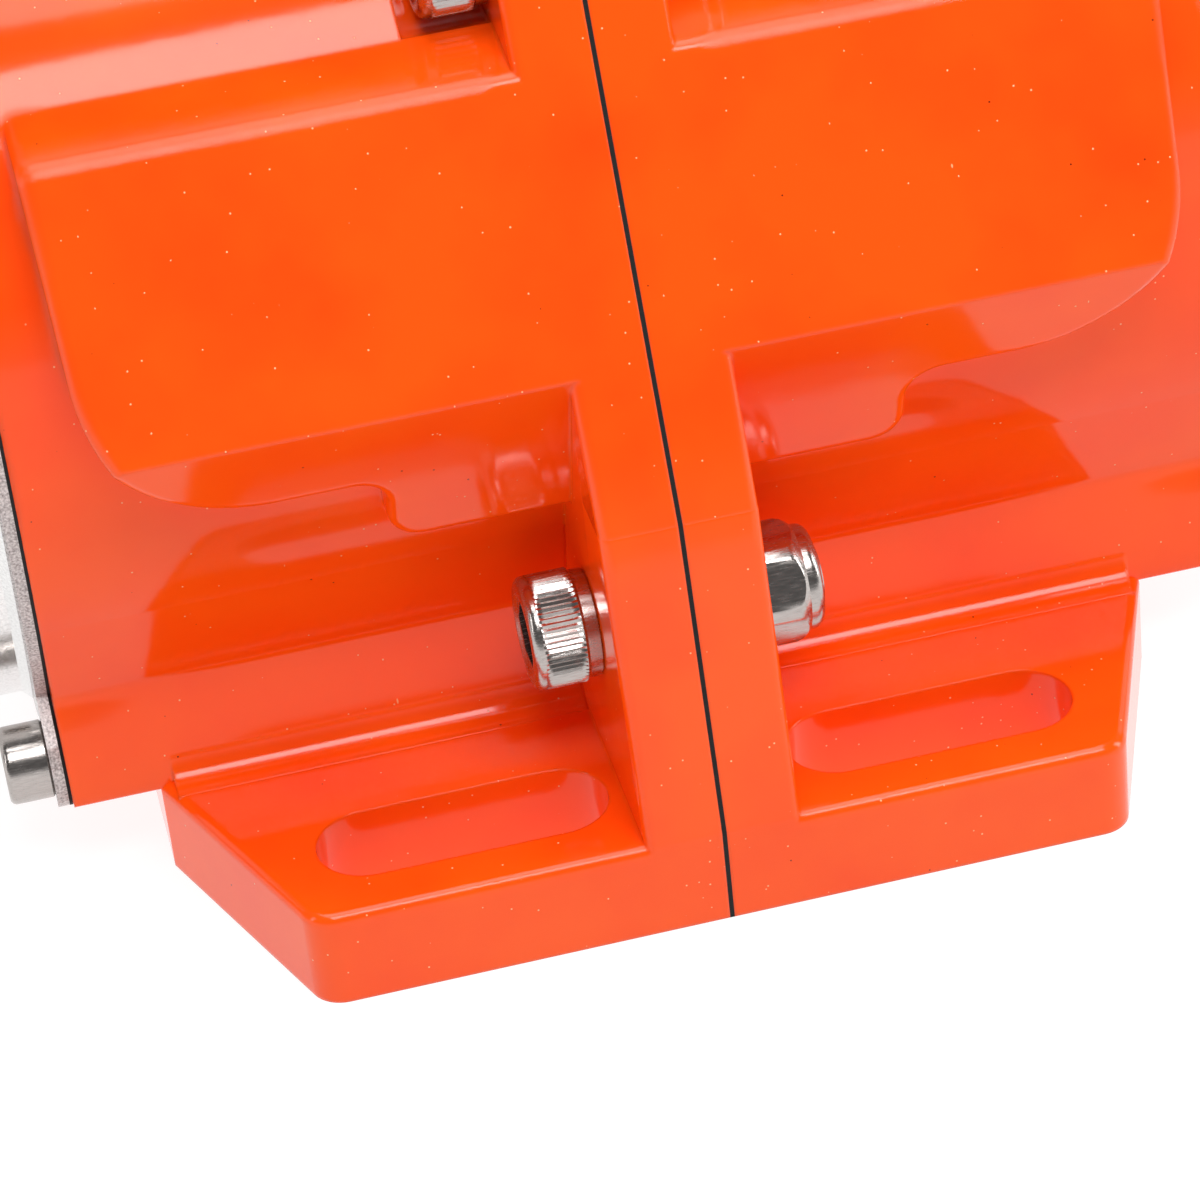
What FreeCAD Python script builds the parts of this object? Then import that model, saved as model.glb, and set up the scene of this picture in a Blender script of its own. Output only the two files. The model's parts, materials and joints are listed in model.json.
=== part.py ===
import FreeCAD, Part
import Sketcher
import math
import os
import re

from FreeCAD import Vector

# Vibration motor whose casing splits across the shaft, in millimetres.
# X runs along the shaft, Z is up, and the origin is the middle of the mounting face.

SIZES = (
    # shaft line and barrel
    ("shaft_height", 44.5),
    ("barrel_clearance", 1.5),
    ("casing_end", 52.9),
    ("gasket_thickness", 0.4),
    # flange of each half
    ("flange_face", 6.86),
    ("knee_stand", 13.53),
    ("knee_drop", 7.64),
    ("ear_radius", 7.05),
    ("ear_stand", 1.085),
    ("crown_stand", 8.0),
    ("flange_edge_fillet", 1.0),
    # through bolts
    ("low_bolt_stand", 9.286),
    ("low_bolt_angle", 24.016),
    ("high_bolt_angle", 49.413),
    ("bolt_radius", 3.0),
    ("bolt_length", 20.0),
    ("bolt_head_radius", 5.0),
    ("bolt_head_height", 6.0),
    ("bolt_collar_radius", 4.7),
    ("bolt_collar_height", 1.2),
    ("bolt_socket_flats", 5.0),
    ("bolt_socket_depth", 3.0),
    ("bolt_head_chamfer", 0.5),
    ("bolt_hole_clearance", 0.3),
    ("head_relief_clearance", 1.25),
    ("head_relief_length", 7.6),
    ("nut_flats", 10.0),
    ("nut_hex_height", 4.6),
    ("nut_height", 6.0),
    ("nut_collar_radius", 4.6),
    ("nut_dome", 0.8),
    ("nut_insert_radius", 4.0),
    ("nut_insert_height", 1.0),
    ("nut_insert_lip", 0.3),
    ("thread_clearance", 0.05),
    # feet
    ("foot_thickness", 9.16),
    ("foot_toe", 5.97),
    ("foot_front_half", 35.68),
    ("foot_root_setback", 4.5),
    ("foot_root_half", 45.14),
    ("foot_inner_y", 20.0),
    ("foot_corner_fillet", 3.0),
    ("foot_edge_fillet", 1.0),
    ("base_relief", 2.5),
    ("slot_centre_x", 20.905),
    ("slot_setback", 9.3),
    ("slot_width", 9.14),
    ("slot_length", 25.73),
    # side pads
    ("pad_top_rise", 27.6),
    ("pad_shelf_rise", 0.122),
    ("pad_shelf_root_y", 24.0),
    ("pad_crease_rise", 4.6),
    ("pad_under_slope", 0.4),
    ("pad_inner_drop", 11.25),
    ("pad_outer_drop", 3.3),
    ("pad_step_x", 22.6),
    ("pad_step_radius", 3.0),
    ("pad_corner_radius", 15.0),
    ("pad_end_low_x", 47.0),
    ("pad_end_top_x", 47.9),
    ("pad_top_fillet", 1.6),
    ("pad_rim_fillet", 1.0),
    ("pad_block_margin", 3.0),
    # lobes for the cover screws
    ("lobe_radius", 4.5),
    ("low_lobe_angle", 45.0),
    ("high_lobe_angle", 70.0),
    ("low_lobe_stand", 4.5),
    ("high_lobe_stand", 3.0),
    ("lobe_root_depth", 4.0),
    ("cover_screw_radius", 2.0),
    ("cover_screw_length", 12.0),
    ("cover_head_radius", 3.5),
    ("cover_head_height", 4.0),
    ("cover_head_chamfer", 0.4),
    # end covers
    ("seal_thickness", 0.3),
    ("cover_sheet", 1.0),
    ("cup_setback", 2.5),
    ("cup_end_clearance", 6.2),
    ("cup_bend", 1.0),
    ("cup_corner", 5.0),
    # inside of the casing
    ("stack_wall", 7.5),
    ("bearing_wall_x", 34.0),
    ("seat_shoulder_radius", 14.5),
    ("seat_shoulder_length", 2.2),
    ("chamber_wall", 6.0),
    ("press_clearance", 0.02),
    ("cut_margin", 1.0),
    # stator and rotor
    ("stack_half", 21.0),
    ("tooth_lip", 3.0),
    ("stator_yoke", 5.5),
    ("slot_depth", 8.0),
    ("slot_breadth", 4.0),
    ("winding_clearance", 0.2),
    ("winding_end", 31.0),
    ("winding_setback", 3.5),
    ("coil_bury", 1.0),
    ("air_gap", 0.3),
    ("rotor_bar_depth", 4.0),
    ("rotor_bar_breadth", 2.0),
    ("rotor_bar_cover", 0.6),
    ("end_ring_length", 5.0),
    ("end_ring_inner", 12.0),
    # shaft
    ("shaft_core_radius", 9.0),
    ("journal_radius", 7.5),
    ("weight_journal_radius", 7.0),
    ("journal_step", 1.0),
    ("shaft_tip_stand", 2.5),
    ("shaft_tip_chamfer", 0.8),
    # bearings
    ("bearing_outer", 17.5),
    ("bearing_width", 11.0),
    ("preload_thickness", 0.7),
    ("preload_inner", 14.8),
    ("preload_play", 0.3),
    ("race_outer", 15.2),
    ("race_inner", 9.7),
    ("roller_radius", 2.7),
    ("roller_length", 6.5),
    ("roller_play", 0.15),
    ("race_rib_outer", 13.9),
    ("race_rib_inner", 11.0),
    ("race_rib_width", 2.0),
    ("roller_cage_inner", 11.6),
    ("roller_cage_outer", 13.3),
    ("roller_cage_width", 9.4),
    # eccentric weights
    ("weight_clearance", 3.0),
    ("weight_hub_radius", 13.5),
    ("weight_start_x", 50.0),
    ("weight_width", 12.0),
    ("weight_gap", 0.5),
    ("weight_edge_angle", 12.0),
    ("weight_bore_clearance", 0.05),
    ("weight_screw_radius", 2.5),
    ("weight_screw_length", 5.0),
    ("key_width", 4.0),
    ("key_floor", 4.5),
    ("key_top", 8.3),
    ("circlip_thickness", 1.0),
    ("circlip_outer", 9.3),
    ("circlip_groove", 6.5),
    ("circlip_gap", 5.0),
    # cable gland on the back pad of the right half
    ("gland_x", 27.5),
    ("gland_rise", 15.5),
    ("gland_thread_radius", 6.0),
    ("gland_thread_length", 8.0),
    ("gland_hole_depth", 16.0),
    ("gland_flats", 15.0),
    ("gland_base_height", 4.0),
    ("gland_neck_radius", 5.6),
    ("gland_neck_height", 6.0),
    ("gland_nut_height", 8.6),
    ("gland_nut_wall", 1.2),
    ("gland_bore_radius", 4.6),
    ("gland_nut_flats", 14.0),
    ("gland_nut_taper", 1.5),
    ("cable_radius", 3.0),
    ("cable_play", 0.4),
)

# sizes that follow from the shaft line, the barrel and the chosen stands and setbacks
DERIVED = {
    "barrel_radius": "shaft_height - barrel_clearance",
    "crown_radius": "barrel_radius + crown_stand",
    "knee_y": "barrel_radius + knee_stand",
    "knee_z": "shaft_height - knee_drop",
    "low_bolt_reach": "barrel_radius + low_bolt_stand",
    "low_bolt_y": "low_bolt_reach * cos(low_bolt_angle)",
    "low_bolt_z": "shaft_height - low_bolt_reach * sin(low_bolt_angle)",
    "high_bolt_reach": "crown_radius - ear_radius + ear_stand",
    "high_bolt_y": "high_bolt_reach * cos(high_bolt_angle)",
    "high_bolt_z": "shaft_height + high_bolt_reach * sin(high_bolt_angle)",
    "foot_front": "knee_y + foot_toe",
    "foot_root_y": "barrel_radius - foot_root_setback",
    "slot_centre_y": "foot_front - slot_setback",
    "pad_top_z": "shaft_height + pad_top_rise",
    "pad_crease_z": "shaft_height + pad_crease_rise",
    "pad_inner_z": "shaft_height - pad_inner_drop",
    "pad_outer_z": "shaft_height - pad_outer_drop",
    "low_lobe_pitch": "barrel_radius + low_lobe_stand",
    "high_lobe_pitch": "barrel_radius + high_lobe_stand",
    "stator_bore": "barrel_radius - stack_wall",
    "chamber_radius": "barrel_radius - chamber_wall",
    "cup_radius": "barrel_radius - cup_setback",
    "slot_floor": "stator_bore - stator_yoke",
    "slot_mouth": "slot_floor - slot_depth",
    "stator_inner": "slot_mouth - tooth_lip",
    "winding_outer": "stator_bore - winding_setback",
    "weight_end": "weight_start_x + 2 * weight_width + weight_gap",
    "shaft_tip": "weight_end + circlip_thickness + shaft_tip_stand",
    "cup_depth": "shaft_tip + cup_end_clearance - casing_end - seal_thickness",
    "weight_radius": "chamber_radius - weight_clearance",
    "gland_z": "shaft_height + gland_rise",
}

# how near a point lies to a face or rim that it belongs to
TOUCH = 0.05
RIM_REACH = 0.5

# a line's start is its point 1 and its end is its point 2
BOTH_ENDS = 3

ROLLERS = 11
STATOR_SLOTS = 18
ROTOR_BARS = 16
FULL_TURN = 360
HEX_SIDES = 6
RIGHT = 1
LEFT = -1
FRONT = -1
BACK = 1
SIDE_NAMES = {LEFT: "left", RIGHT: "right"}

doc = FreeCAD.newDocument("vibration_motor")
dims = doc.addObject("Spreadsheet::Sheet", "dims")
for row, (size_name, size) in enumerate(SIZES, start=1):
    dims.set(f"A{row}", size_name)
    dims.set(f"B{row}", str(size))
    dims.setAlias(f"B{row}", size_name)
doc.recompute()


# ---- expressions -------------------------------------------------------------------------------

def written_out(word):
    """A size name as its cell, or as what it follows from."""
    rule = DERIVED.get(word[0])
    return f"({sized(rule)})" if rule else "dims." + word[0]


def sized(text):
    """Point each size name in an expression at its cell."""
    return re.sub(r"[a-z]+(?:_[a-z]+)+", written_out, text)


def value(text):
    """The present value of an expression."""
    result = probe.evalExpression(sized(text))
    return float(getattr(result, "Value", result))


def bind(item, prop, text):
    item.setExpression(prop, sized(text))


probe = doc.addObject("App::FeaturePython", "probe")


# ---- sketches ----------------------------------------------------------------------------------

def new_body(label, height="0"):
    body = doc.addObject("PartDesign::Body", label)
    body.Label = label
    bind(body, "Placement.Base.z", height)
    return body


def sketch_on(body, role, name, offset="0", lift="0"):
    """A sketch on one of the body's own planes, moved along its normal and up its own Y."""
    plane = next(item for item in body.Origin.OriginFeatures if item.Role == role)
    sketch = body.newObject("Sketcher::SketchObject", name)
    sketch.AttachmentSupport = [(plane, "")]
    sketch.MapMode = "FlatFace"
    bind(sketch, "AttachmentOffset.Base.z", offset)
    bind(sketch, "AttachmentOffset.Base.y", lift)
    return sketch


def pin(sketch, geometry, point, across, up):
    """Hold a point at its two distances from the sketch's origin."""
    for kind, text in (("DistanceX", across), ("DistanceY", up)):
        rule = Sketcher.Constraint(kind, -1, 1, geometry, point, value(text))
        index = sketch.addConstraint(rule)
        bind(sketch, f"Constraints[{index}]", text)


def arc_between(start, end, radius, turn):
    """The short arc from start to end; turn is 1 anticlockwise and -1 clockwise."""
    chord = end - start
    across = Vector(-chord.y, chord.x, 0) / chord.Length
    rise = math.sqrt(radius ** 2 - (chord.Length / 2) ** 2)
    centre = (start + end) / 2 + across * (turn * rise)
    angles = [math.atan2(p.y - centre.y, p.x - centre.x) for p in (start, end)]
    if turn < 0:
        angles.reverse()
    return Part.ArcOfCircle(Part.Circle(centre, Vector(0, 0, 1), radius), *angles)


def outline(sketch, steps):
    """A closed outline. Each step is across, up and, where an arc leaves it, a radius and turn."""
    corners = [Vector(value(step[0]), value(step[1]), 0) for step in steps]
    first = sketch.GeometryCount
    total = len(steps)
    starts = []
    for number, step in enumerate(steps):
        here = corners[number]
        there = corners[(number + 1) % total]
        if len(step) == 2:
            sketch.addGeometry(Part.LineSegment(here, there), False)
            starts.append(1)
        else:
            sketch.addGeometry(arc_between(here, there, value(step[2]), step[3]), False)
            starts.append(1 if step[3] > 0 else 2)
            rule = Sketcher.Constraint("Radius", first + number, value(step[2]))
            bind(sketch, f"Constraints[{sketch.addConstraint(rule)}]", step[2])
    for number in range(total):
        following = (number + 1) % total
        sketch.addConstraint(Sketcher.Constraint(
            "Coincident", first + number, BOTH_ENDS - starts[number], first + following,
            starts[following]))
    for number, step in enumerate(steps):
        pin(sketch, first + number, starts[number], step[0], step[1])


def circle(sketch, across, up, radius):
    middle = Vector(value(across), value(up), 0)
    index = sketch.addGeometry(Part.Circle(middle, Vector(0, 0, 1), value(radius)), False)
    rule = Sketcher.Constraint("Radius", index, value(radius))
    bind(sketch, f"Constraints[{sketch.addConstraint(rule)}]", radius)
    pin(sketch, index, 3, across, up)


def hexagon(sketch, flats):
    """A hexagon about the sketch's origin with two flats level."""
    corner = f"({flats}) / 2 / cos(30)"
    outline(sketch, [(f"{corner} * cos({60 * turn})", f"{corner} * sin({60 * turn})")
                     for turn in range(HEX_SIDES)])


# ---- features ----------------------------------------------------------------------------------

def extrude(body, kind, sketch, length, reverse=False):
    feature = body.newObject("PartDesign::" + kind, sketch.Name + "_" + kind.lower())
    feature.Profile = sketch
    bind(feature, "Length", length)
    feature.Reversed = reverse
    return feature


def spin(body, kind, sketch, axis="H_Axis"):
    feature = body.newObject("PartDesign::" + kind, sketch.Name + "_" + kind.lower())
    feature.Profile = sketch
    feature.ReferenceAxis = (sketch, [axis])
    feature.Angle = FULL_TURN
    return feature


def repeat_round(body, feature, count):
    """Copies of a feature around the body's X axis."""
    axis = next(item for item in body.Origin.OriginFeatures if item.Role == "X_Axis")
    pattern = body.newObject("PartDesign::PolarPattern", feature.Name + "_ring")
    pattern.Originals = [feature]
    pattern.Axis = (axis, [""])
    pattern.Angle = FULL_TURN
    pattern.Occurrences = count
    body.Tip = pattern
    return pattern


def round_edges(body, name, radius, chosen):
    """Fillet the edges of the body's tip whose middle point passes a test."""
    doc.recompute()
    base = body.Tip
    edges = []
    for number, edge in enumerate(base.Shape.Edges, start=1):
        middle = edge.valueAt((edge.FirstParameter + edge.LastParameter) / 2)
        if chosen(middle):
            edges.append(f"Edge{number}")
    fillet = body.newObject("PartDesign::Fillet", name)
    fillet.Base = (base, edges)
    bind(fillet, "Radius", radius)
    return fillet


def turned(label, steps, height="shaft_height"):
    """A round piece about the shaft's axis, from its half section in X and radius."""
    body = new_body(label, height)
    sketch = sketch_on(body, "XZ_Plane", label + "_section")
    outline(sketch, steps)
    spin(body, "Revolution", sketch)
    return body


def ring_section(start, end, inner, outer):
    return [(start, inner), (end, inner), (end, outer), (start, outer)]


def sided(side, steps):
    """Half section steps turned towards one end of the shaft."""
    return [(f"{side} * ({x})", radius) for x, radius in steps]


def group(label, members):
    compound = doc.addObject("Part::Compound", label)
    compound.Label = label
    compound.Links = members
    return compound


# ---- shared geometry ---------------------------------------------------------------------------

def ear_tangent():
    """Where the leaning front of the flange meets the round of the upper ear."""
    run_y = "(high_bolt_y - knee_y)"
    run_z = "(high_bolt_z - knee_z)"
    span = f"({run_y} ^ 2 + {run_z} ^ 2)"
    reach = f"sqrt({span} - ear_radius ^ 2)"
    share = f"{reach} / {span}"
    return (f"(knee_y + {share} * ({reach} * {run_y} + ear_radius * {run_z}))",
            f"(knee_z + {share} * ({reach} * {run_z} - ear_radius * {run_y}))")


def roof_tangents():
    """Where the line over the flange leaves the ear and meets the crown."""
    rise = "(high_bolt_z - shaft_height)"
    span = f"(high_bolt_y ^ 2 + {rise} ^ 2)"
    step = "(crown_radius - ear_radius)"
    reach = f"sqrt({span} - {step} ^ 2)"
    normal_y = f"((high_bolt_y * {step} - {rise} * {reach}) / {span})"
    normal_z = f"(({rise} * {step} + high_bolt_y * {reach}) / {span})"
    ear = (f"(high_bolt_y + ear_radius * {normal_y})", f"(high_bolt_z + ear_radius * {normal_z})")
    crown = (f"(crown_radius * {normal_y})", f"(shaft_height + crown_radius * {normal_z})")
    return ear, crown


EAR_FRONT = ear_tangent()
EAR_TOP, CROWN_EDGE = roof_tangents()
LEAN = f"((knee_y - {EAR_FRONT[0]}) / ({EAR_FRONT[1]} - knee_z))"
GLAND_TILT = f"(atan({LEAN}) / 1 deg)"


def leaning_face(height):
    """Distance of the leaning face from the middle plane at a height."""
    return f"(knee_y - ({height} - knee_z) * {LEAN})"


def flange_outline():
    """The outline of the split face, in Y and Z, going round anticlockwise."""
    half = [
        ("foot_front", "0"),
        ("foot_front", "foot_thickness"),
        ("knee_y", "knee_z"),
        (*EAR_FRONT, "ear_radius", 1),
        EAR_TOP,
        (*CROWN_EDGE, "crown_radius", 1),
    ]
    mirrored = [
        (f"-{CROWN_EDGE[0]}", CROWN_EDGE[1]),
        (f"-{EAR_TOP[0]}", EAR_TOP[1], "ear_radius", 1),
        (f"-{EAR_FRONT[0]}", EAR_FRONT[1]),
        ("-knee_y", "knee_z"),
        ("-foot_front", "foot_thickness"),
        ("-foot_front", "0"),
    ]
    return half + mirrored


def lobe_places():
    """Y and Z of the four cover screws, with each one's angle as unit steps."""
    for angle, pitch, rise in (("low_lobe_angle", "low_lobe_pitch", LEFT),
                               ("high_lobe_angle", "high_lobe_pitch", RIGHT)):
        for face in (FRONT, BACK):
            out_y = f"({face} * cos({angle}))"
            out_z = f"({rise} * sin({angle}))"
            yield out_y, out_z, pitch


def bolt_places():
    for across, up in (("low_bolt_y", "low_bolt_z"), ("high_bolt_y", "high_bolt_z")):
        for face in (FRONT, BACK):
            yield f"{face} * {across}", up


def lobes(body, name, start, length, side, centre):
    """Round screw lobes and the straight flanks that join them to the barrel."""
    flanks = sketch_on(body, "YZ_Plane", name + "_flanks", f"{side} * ({start})")
    for out_y, out_z, pitch in lobe_places():
        root = "(barrel_radius - lobe_root_depth)"
        corners = []
        for reach, lean in ((root, LEFT), (pitch, LEFT), (pitch, RIGHT), (root, RIGHT)):
            corners.append((f"{reach} * {out_y} - {lean} * lobe_radius * {out_z}",
                            f"{centre} + {reach} * {out_z} + {lean} * lobe_radius * {out_y}"))
        outline(flanks, corners)
    extrude(body, "Pad", flanks, length, side == LEFT)
    tips = sketch_on(body, "YZ_Plane", name + "_tips", f"{side} * ({start})")
    for out_y, out_z, pitch in lobe_places():
        circle(tips, f"{pitch} * {out_y}", f"{centre} + {pitch} * {out_z}", "lobe_radius")
    extrude(body, "Pad", tips, length, side == LEFT)


def lobe_holes(body, name, start, length, side, radius, centre):
    holes = sketch_on(body, "YZ_Plane", name + "_screw_holes", f"{side} * ({start})")
    for out_y, out_z, pitch in lobe_places():
        circle(holes, f"{pitch} * {out_y}", f"{centre} + {pitch} * {out_z}", radius)
    extrude(body, "Pocket", holes, length, side == LEFT)


# ---- casing halves -----------------------------------------------------------------------------

def casing_half(side):
    """One die-cast half: flange, side pads, barrel, lobes and feet, bored for what it holds."""
    name = SIDE_NAMES[side]
    inward = side == LEFT
    body = new_body(name + "_casting")
    face = "gasket_thickness / 2"

    flange = sketch_on(body, "YZ_Plane", name + "_flange", f"{side} * {face}")
    outline(flange, flange_outline())
    extrude(body, "Pad", flange, f"flange_face - {face}", inward)

    pads = sketch_on(body, "XZ_Plane", name + "_pads", "foot_front")
    step = f"{side} * pad_step_x"
    low_x = f"{side} * pad_end_low_x"
    pads_top = "(pad_top_z + pad_block_margin)"
    outline(pads, [
        (f"{side} * flange_face", "pad_inner_z"),
        (f"{side} * (pad_step_x - pad_step_radius)", "pad_inner_z", "pad_step_radius", side),
        (step, "pad_inner_z + pad_step_radius"),
        (step, "pad_outer_z - pad_step_radius", "pad_step_radius", -side),
        (f"{side} * (pad_step_x + pad_step_radius)", "pad_outer_z"),
        (f"{side} * (pad_end_low_x - pad_corner_radius)", "pad_outer_z", "pad_corner_radius", side),
        (low_x, "pad_outer_z + pad_corner_radius"),
        (f"{side} * pad_end_top_x", pads_top),
        (f"{side} * flange_face", pads_top),
    ])
    extrude(body, "Pad", pads, "2 * foot_front", True)

    faces = sketch_on(body, "YZ_Plane", name + "_pad_faces", f"{side} * flange_face")
    for face_side in (FRONT, BACK):
        crease = leaning_face("pad_crease_z")
        clear = "(foot_front + pad_block_margin)"
        below = "(pad_inner_z - pad_block_margin)"
        under = f"({crease} - pad_under_slope * (pad_crease_z - {below}))"
        shelf = f"(pad_top_z + pad_shelf_rise * ({leaning_face('pad_top_z')} - pad_shelf_root_y))"
        outline(faces, [
            (f"{face_side} * pad_shelf_root_y", "shaft_height + crown_radius"),
            (f"{face_side} * pad_shelf_root_y", shelf),
            (f"{face_side} * {leaning_face('pad_top_z')}", "pad_top_z"),
            (f"{face_side} * {crease}", "pad_crease_z"),
            (f"{face_side} * {under}", below),
            (f"{face_side} * {clear}", below),
            (f"{face_side} * {clear}", "shaft_height + crown_radius"),
        ])
    extrude(body, "Pocket", faces, "casing_end", side == RIGHT)
    round_pads(body, name)

    barrel = sketch_on(body, "YZ_Plane", name + "_barrel", f"{side} * {face}")
    circle(barrel, "0", "shaft_height", "barrel_radius")
    extrude(body, "Pad", barrel, f"casing_end - {face}", inward)

    lobes(body, name, "flange_face", "casing_end - flange_face", side, "shaft_height")

    feet = sketch_on(body, "XY_Plane", name + "_feet")
    for face_side in (FRONT, BACK):
        outline(feet, [
            (f"{side} * {face}", f"{face_side} * foot_inner_y"),
            (f"{side} * foot_root_half", f"{face_side} * foot_inner_y"),
            (f"{side} * foot_root_half", f"{face_side} * foot_root_y"),
            (f"{side} * foot_front_half", f"{face_side} * foot_front"),
            (f"{side} * {face}", f"{face_side} * foot_front"),
        ])
    extrude(body, "Pad", feet, "foot_thickness")
    round_feet(body, name)

    relief = sketch_on(body, "XY_Plane", name + "_base_relief")
    outline(relief, [
        ("0", "-foot_inner_y"),
        (f"{side} * (casing_end + cut_margin)", "-foot_inner_y"),
        (f"{side} * (casing_end + cut_margin)", "foot_inner_y"),
        ("0", "foot_inner_y"),
    ])
    extrude(body, "Pocket", relief, "base_relief", True)

    slots = sketch_on(body, "XY_Plane", name + "_slots")
    slot_radius = "slot_width / 2"
    near = "(slot_centre_x - slot_length / 2 + slot_width / 2)"
    far = "(slot_centre_x + slot_length / 2 - slot_width / 2)"
    for face_side in (FRONT, BACK):
        outline(slots, [
            (f"{side} * {near}", f"{face_side} * slot_centre_y - {slot_radius}"),
            (f"{side} * {far}", f"{face_side} * slot_centre_y - {slot_radius}"),
            (f"{side} * {far}", f"{face_side} * slot_centre_y + {slot_radius}"),
            (f"{side} * {near}", f"{face_side} * slot_centre_y + {slot_radius}"),
        ])
    extrude(body, "Pocket", slots, "foot_thickness", True)
    slot_ends = sketch_on(body, "XY_Plane", name + "_slot_ends")
    for face_side in (FRONT, BACK):
        for along in (near, far):
            circle(slot_ends, f"{side} * {along}", f"{face_side} * slot_centre_y", slot_radius)
    extrude(body, "Pocket", slot_ends, "foot_thickness", True)

    inside = sketch_on(body, "XZ_Plane", name + "_inside", "0", "shaft_height")
    seat_end = seat_end_x(side)
    shoulder_end = f"{seat_end} + seat_shoulder_length"
    outline(inside, [(f"{side} * ({x})", radius) for x, radius in (
        ("0", "0"),
        ("0", "stator_bore"),
        ("bearing_wall_x", "stator_bore"),
        ("bearing_wall_x", "bearing_outer + press_clearance"),
        (seat_end, "bearing_outer + press_clearance"),
        (seat_end, "seat_shoulder_radius"),
        (shoulder_end, "seat_shoulder_radius"),
        (shoulder_end, "chamber_radius"),
        ("casing_end + cut_margin", "chamber_radius"),
        ("casing_end + cut_margin", "0"),
    )])
    spin(body, "Groove", inside)

    reliefs = sketch_on(body, "YZ_Plane", name + "_head_reliefs", f"{side} * flange_face")
    for face_side in (FRONT, BACK):
        circle(reliefs, f"{face_side} * high_bolt_y", "high_bolt_z",
               "bolt_head_radius + head_relief_clearance")
    extrude(body, "Pocket", reliefs, "head_relief_length", side == RIGHT)

    bolts = sketch_on(body, "YZ_Plane", name + "_bolt_holes")
    for across, up in bolt_places():
        circle(bolts, across, up, "bolt_radius + bolt_hole_clearance")
    extrude(body, "Pocket", bolts, "flange_face + cut_margin", side == RIGHT)

    lobe_holes(body, name, "casing_end", "cover_screw_length", side,
               "cover_screw_radius + thread_clearance", "shaft_height")
    return body


def close_to(first, second):
    return abs(first - second) < TOUCH


def round_pads(body, name):
    """Soften the flange's rim and the pads before the barrel joins them."""
    flange_x = value("flange_face")
    crease_z = value("pad_crease_z")
    crease_y = value(leaning_face("pad_crease_z"))
    top_z = value("pad_top_z")
    knee_y = value("knee_y")
    knee_z = value("knee_z")
    lean = value(LEAN)
    under = value("pad_under_slope")
    shaft_z = value("shaft_height")
    barrel = value("barrel_radius")
    foot_top = value("foot_thickness")
    bolt_z = value("high_bolt_z")

    def front_y(height):
        return knee_y - max(height - knee_z, 0) * lean

    def on_low_rim(point):
        """The flange's outer edge from the foot up to the pad's crease."""
        at_side = close_to(abs(point.x), flange_x) and foot_top < point.z < crease_z
        return at_side and abs(point.y) > front_y(point.z) - TOUCH

    def on_high_rim(point):
        """The flange's outer edge from the pad's top over the crown."""
        at_side = close_to(abs(point.x), flange_x) and point.z > top_z
        outside = abs(point.y) > front_y(point.z) - RIM_REACH or point.z > bolt_z
        return at_side and outside and math.hypot(point.y, point.z - shaft_z) > barrel

    def on_pad_top(point):
        return close_to(point.z, top_z) and abs(point.x) > flange_x + RIM_REACH

    def on_pad_rim(point):
        """The pad's end and lower edges on its two outer faces."""
        clear_of_flange = abs(point.x) > flange_x + RIM_REACH
        if not clear_of_flange or close_to(point.z, crease_z) or point.z > top_z - TOUCH:
            return False
        under_y = crease_y - under * (crease_z - point.z)
        face_y = front_y(point.z) if point.z > crease_z else under_y
        return abs(point.y) > face_y - RIM_REACH

    round_edges(body, name + "_low_rim_round", "flange_edge_fillet", on_low_rim)
    round_edges(body, name + "_high_rim_round", "flange_edge_fillet", on_high_rim)
    round_edges(body, name + "_pad_top_round", "pad_top_fillet", on_pad_top)
    round_edges(body, name + "_pad_rim_round", "pad_rim_fillet", on_pad_rim)


def round_feet(body, name):
    """Round the front corners of the feet, then the top edge that runs round them."""
    front = value("foot_front")
    front_x = value("foot_front_half")
    root_y = value("foot_root_y")
    top_z = value("foot_thickness")
    flange_x = value("flange_face")

    def on_corner(point):
        at_front = close_to(abs(point.x), front_x) and close_to(abs(point.y), front)
        return at_front and close_to(point.z, top_z / 2)

    def on_top(point):
        outside = close_to(abs(point.y), front) or abs(point.x) > front_x - 2 * RIM_REACH
        in_reach = abs(point.x) > flange_x and abs(point.y) > root_y - RIM_REACH
        return close_to(point.z, top_z) and in_reach and outside

    round_edges(body, name + "_foot_corner_round", "foot_corner_fillet", on_corner)
    round_edges(body, name + "_foot_top_round", "foot_edge_fillet", on_top)


def seat_end_x(side):
    """Where the bearing seat ends; the right seat also holds the preload washer."""
    seat = "(bearing_wall_x + bearing_width)"
    return f"({seat} + preload_thickness)" if side == RIGHT else seat


# ---- what goes round the casing ----------------------------------------------------------------

def split_gasket():
    """A flat gasket between the halves, open over the stator and the bolts."""
    body = new_body("split_gasket")
    sketch = sketch_on(body, "YZ_Plane", "gasket_outline", "-gasket_thickness / 2")
    outline(sketch, flange_outline())
    extrude(body, "Pad", sketch, "gasket_thickness")
    opening = sketch_on(body, "YZ_Plane", "gasket_openings", "-gasket_thickness / 2")
    circle(opening, "0", "shaft_height", "stator_bore")
    for across, up in bolt_places():
        circle(opening, across, up, "bolt_radius + bolt_hole_clearance")
    extrude(body, "Pocket", opening, "gasket_thickness", True)
    relief = sketch_on(body, "YZ_Plane", "gasket_base_relief", "-gasket_thickness / 2")
    outline(relief, [
        ("-foot_inner_y", "0"),
        ("foot_inner_y", "0"),
        ("foot_inner_y", "base_relief"),
        ("-foot_inner_y", "base_relief"),
    ])
    extrude(body, "Pocket", relief, "gasket_thickness", True)
    return body


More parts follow.
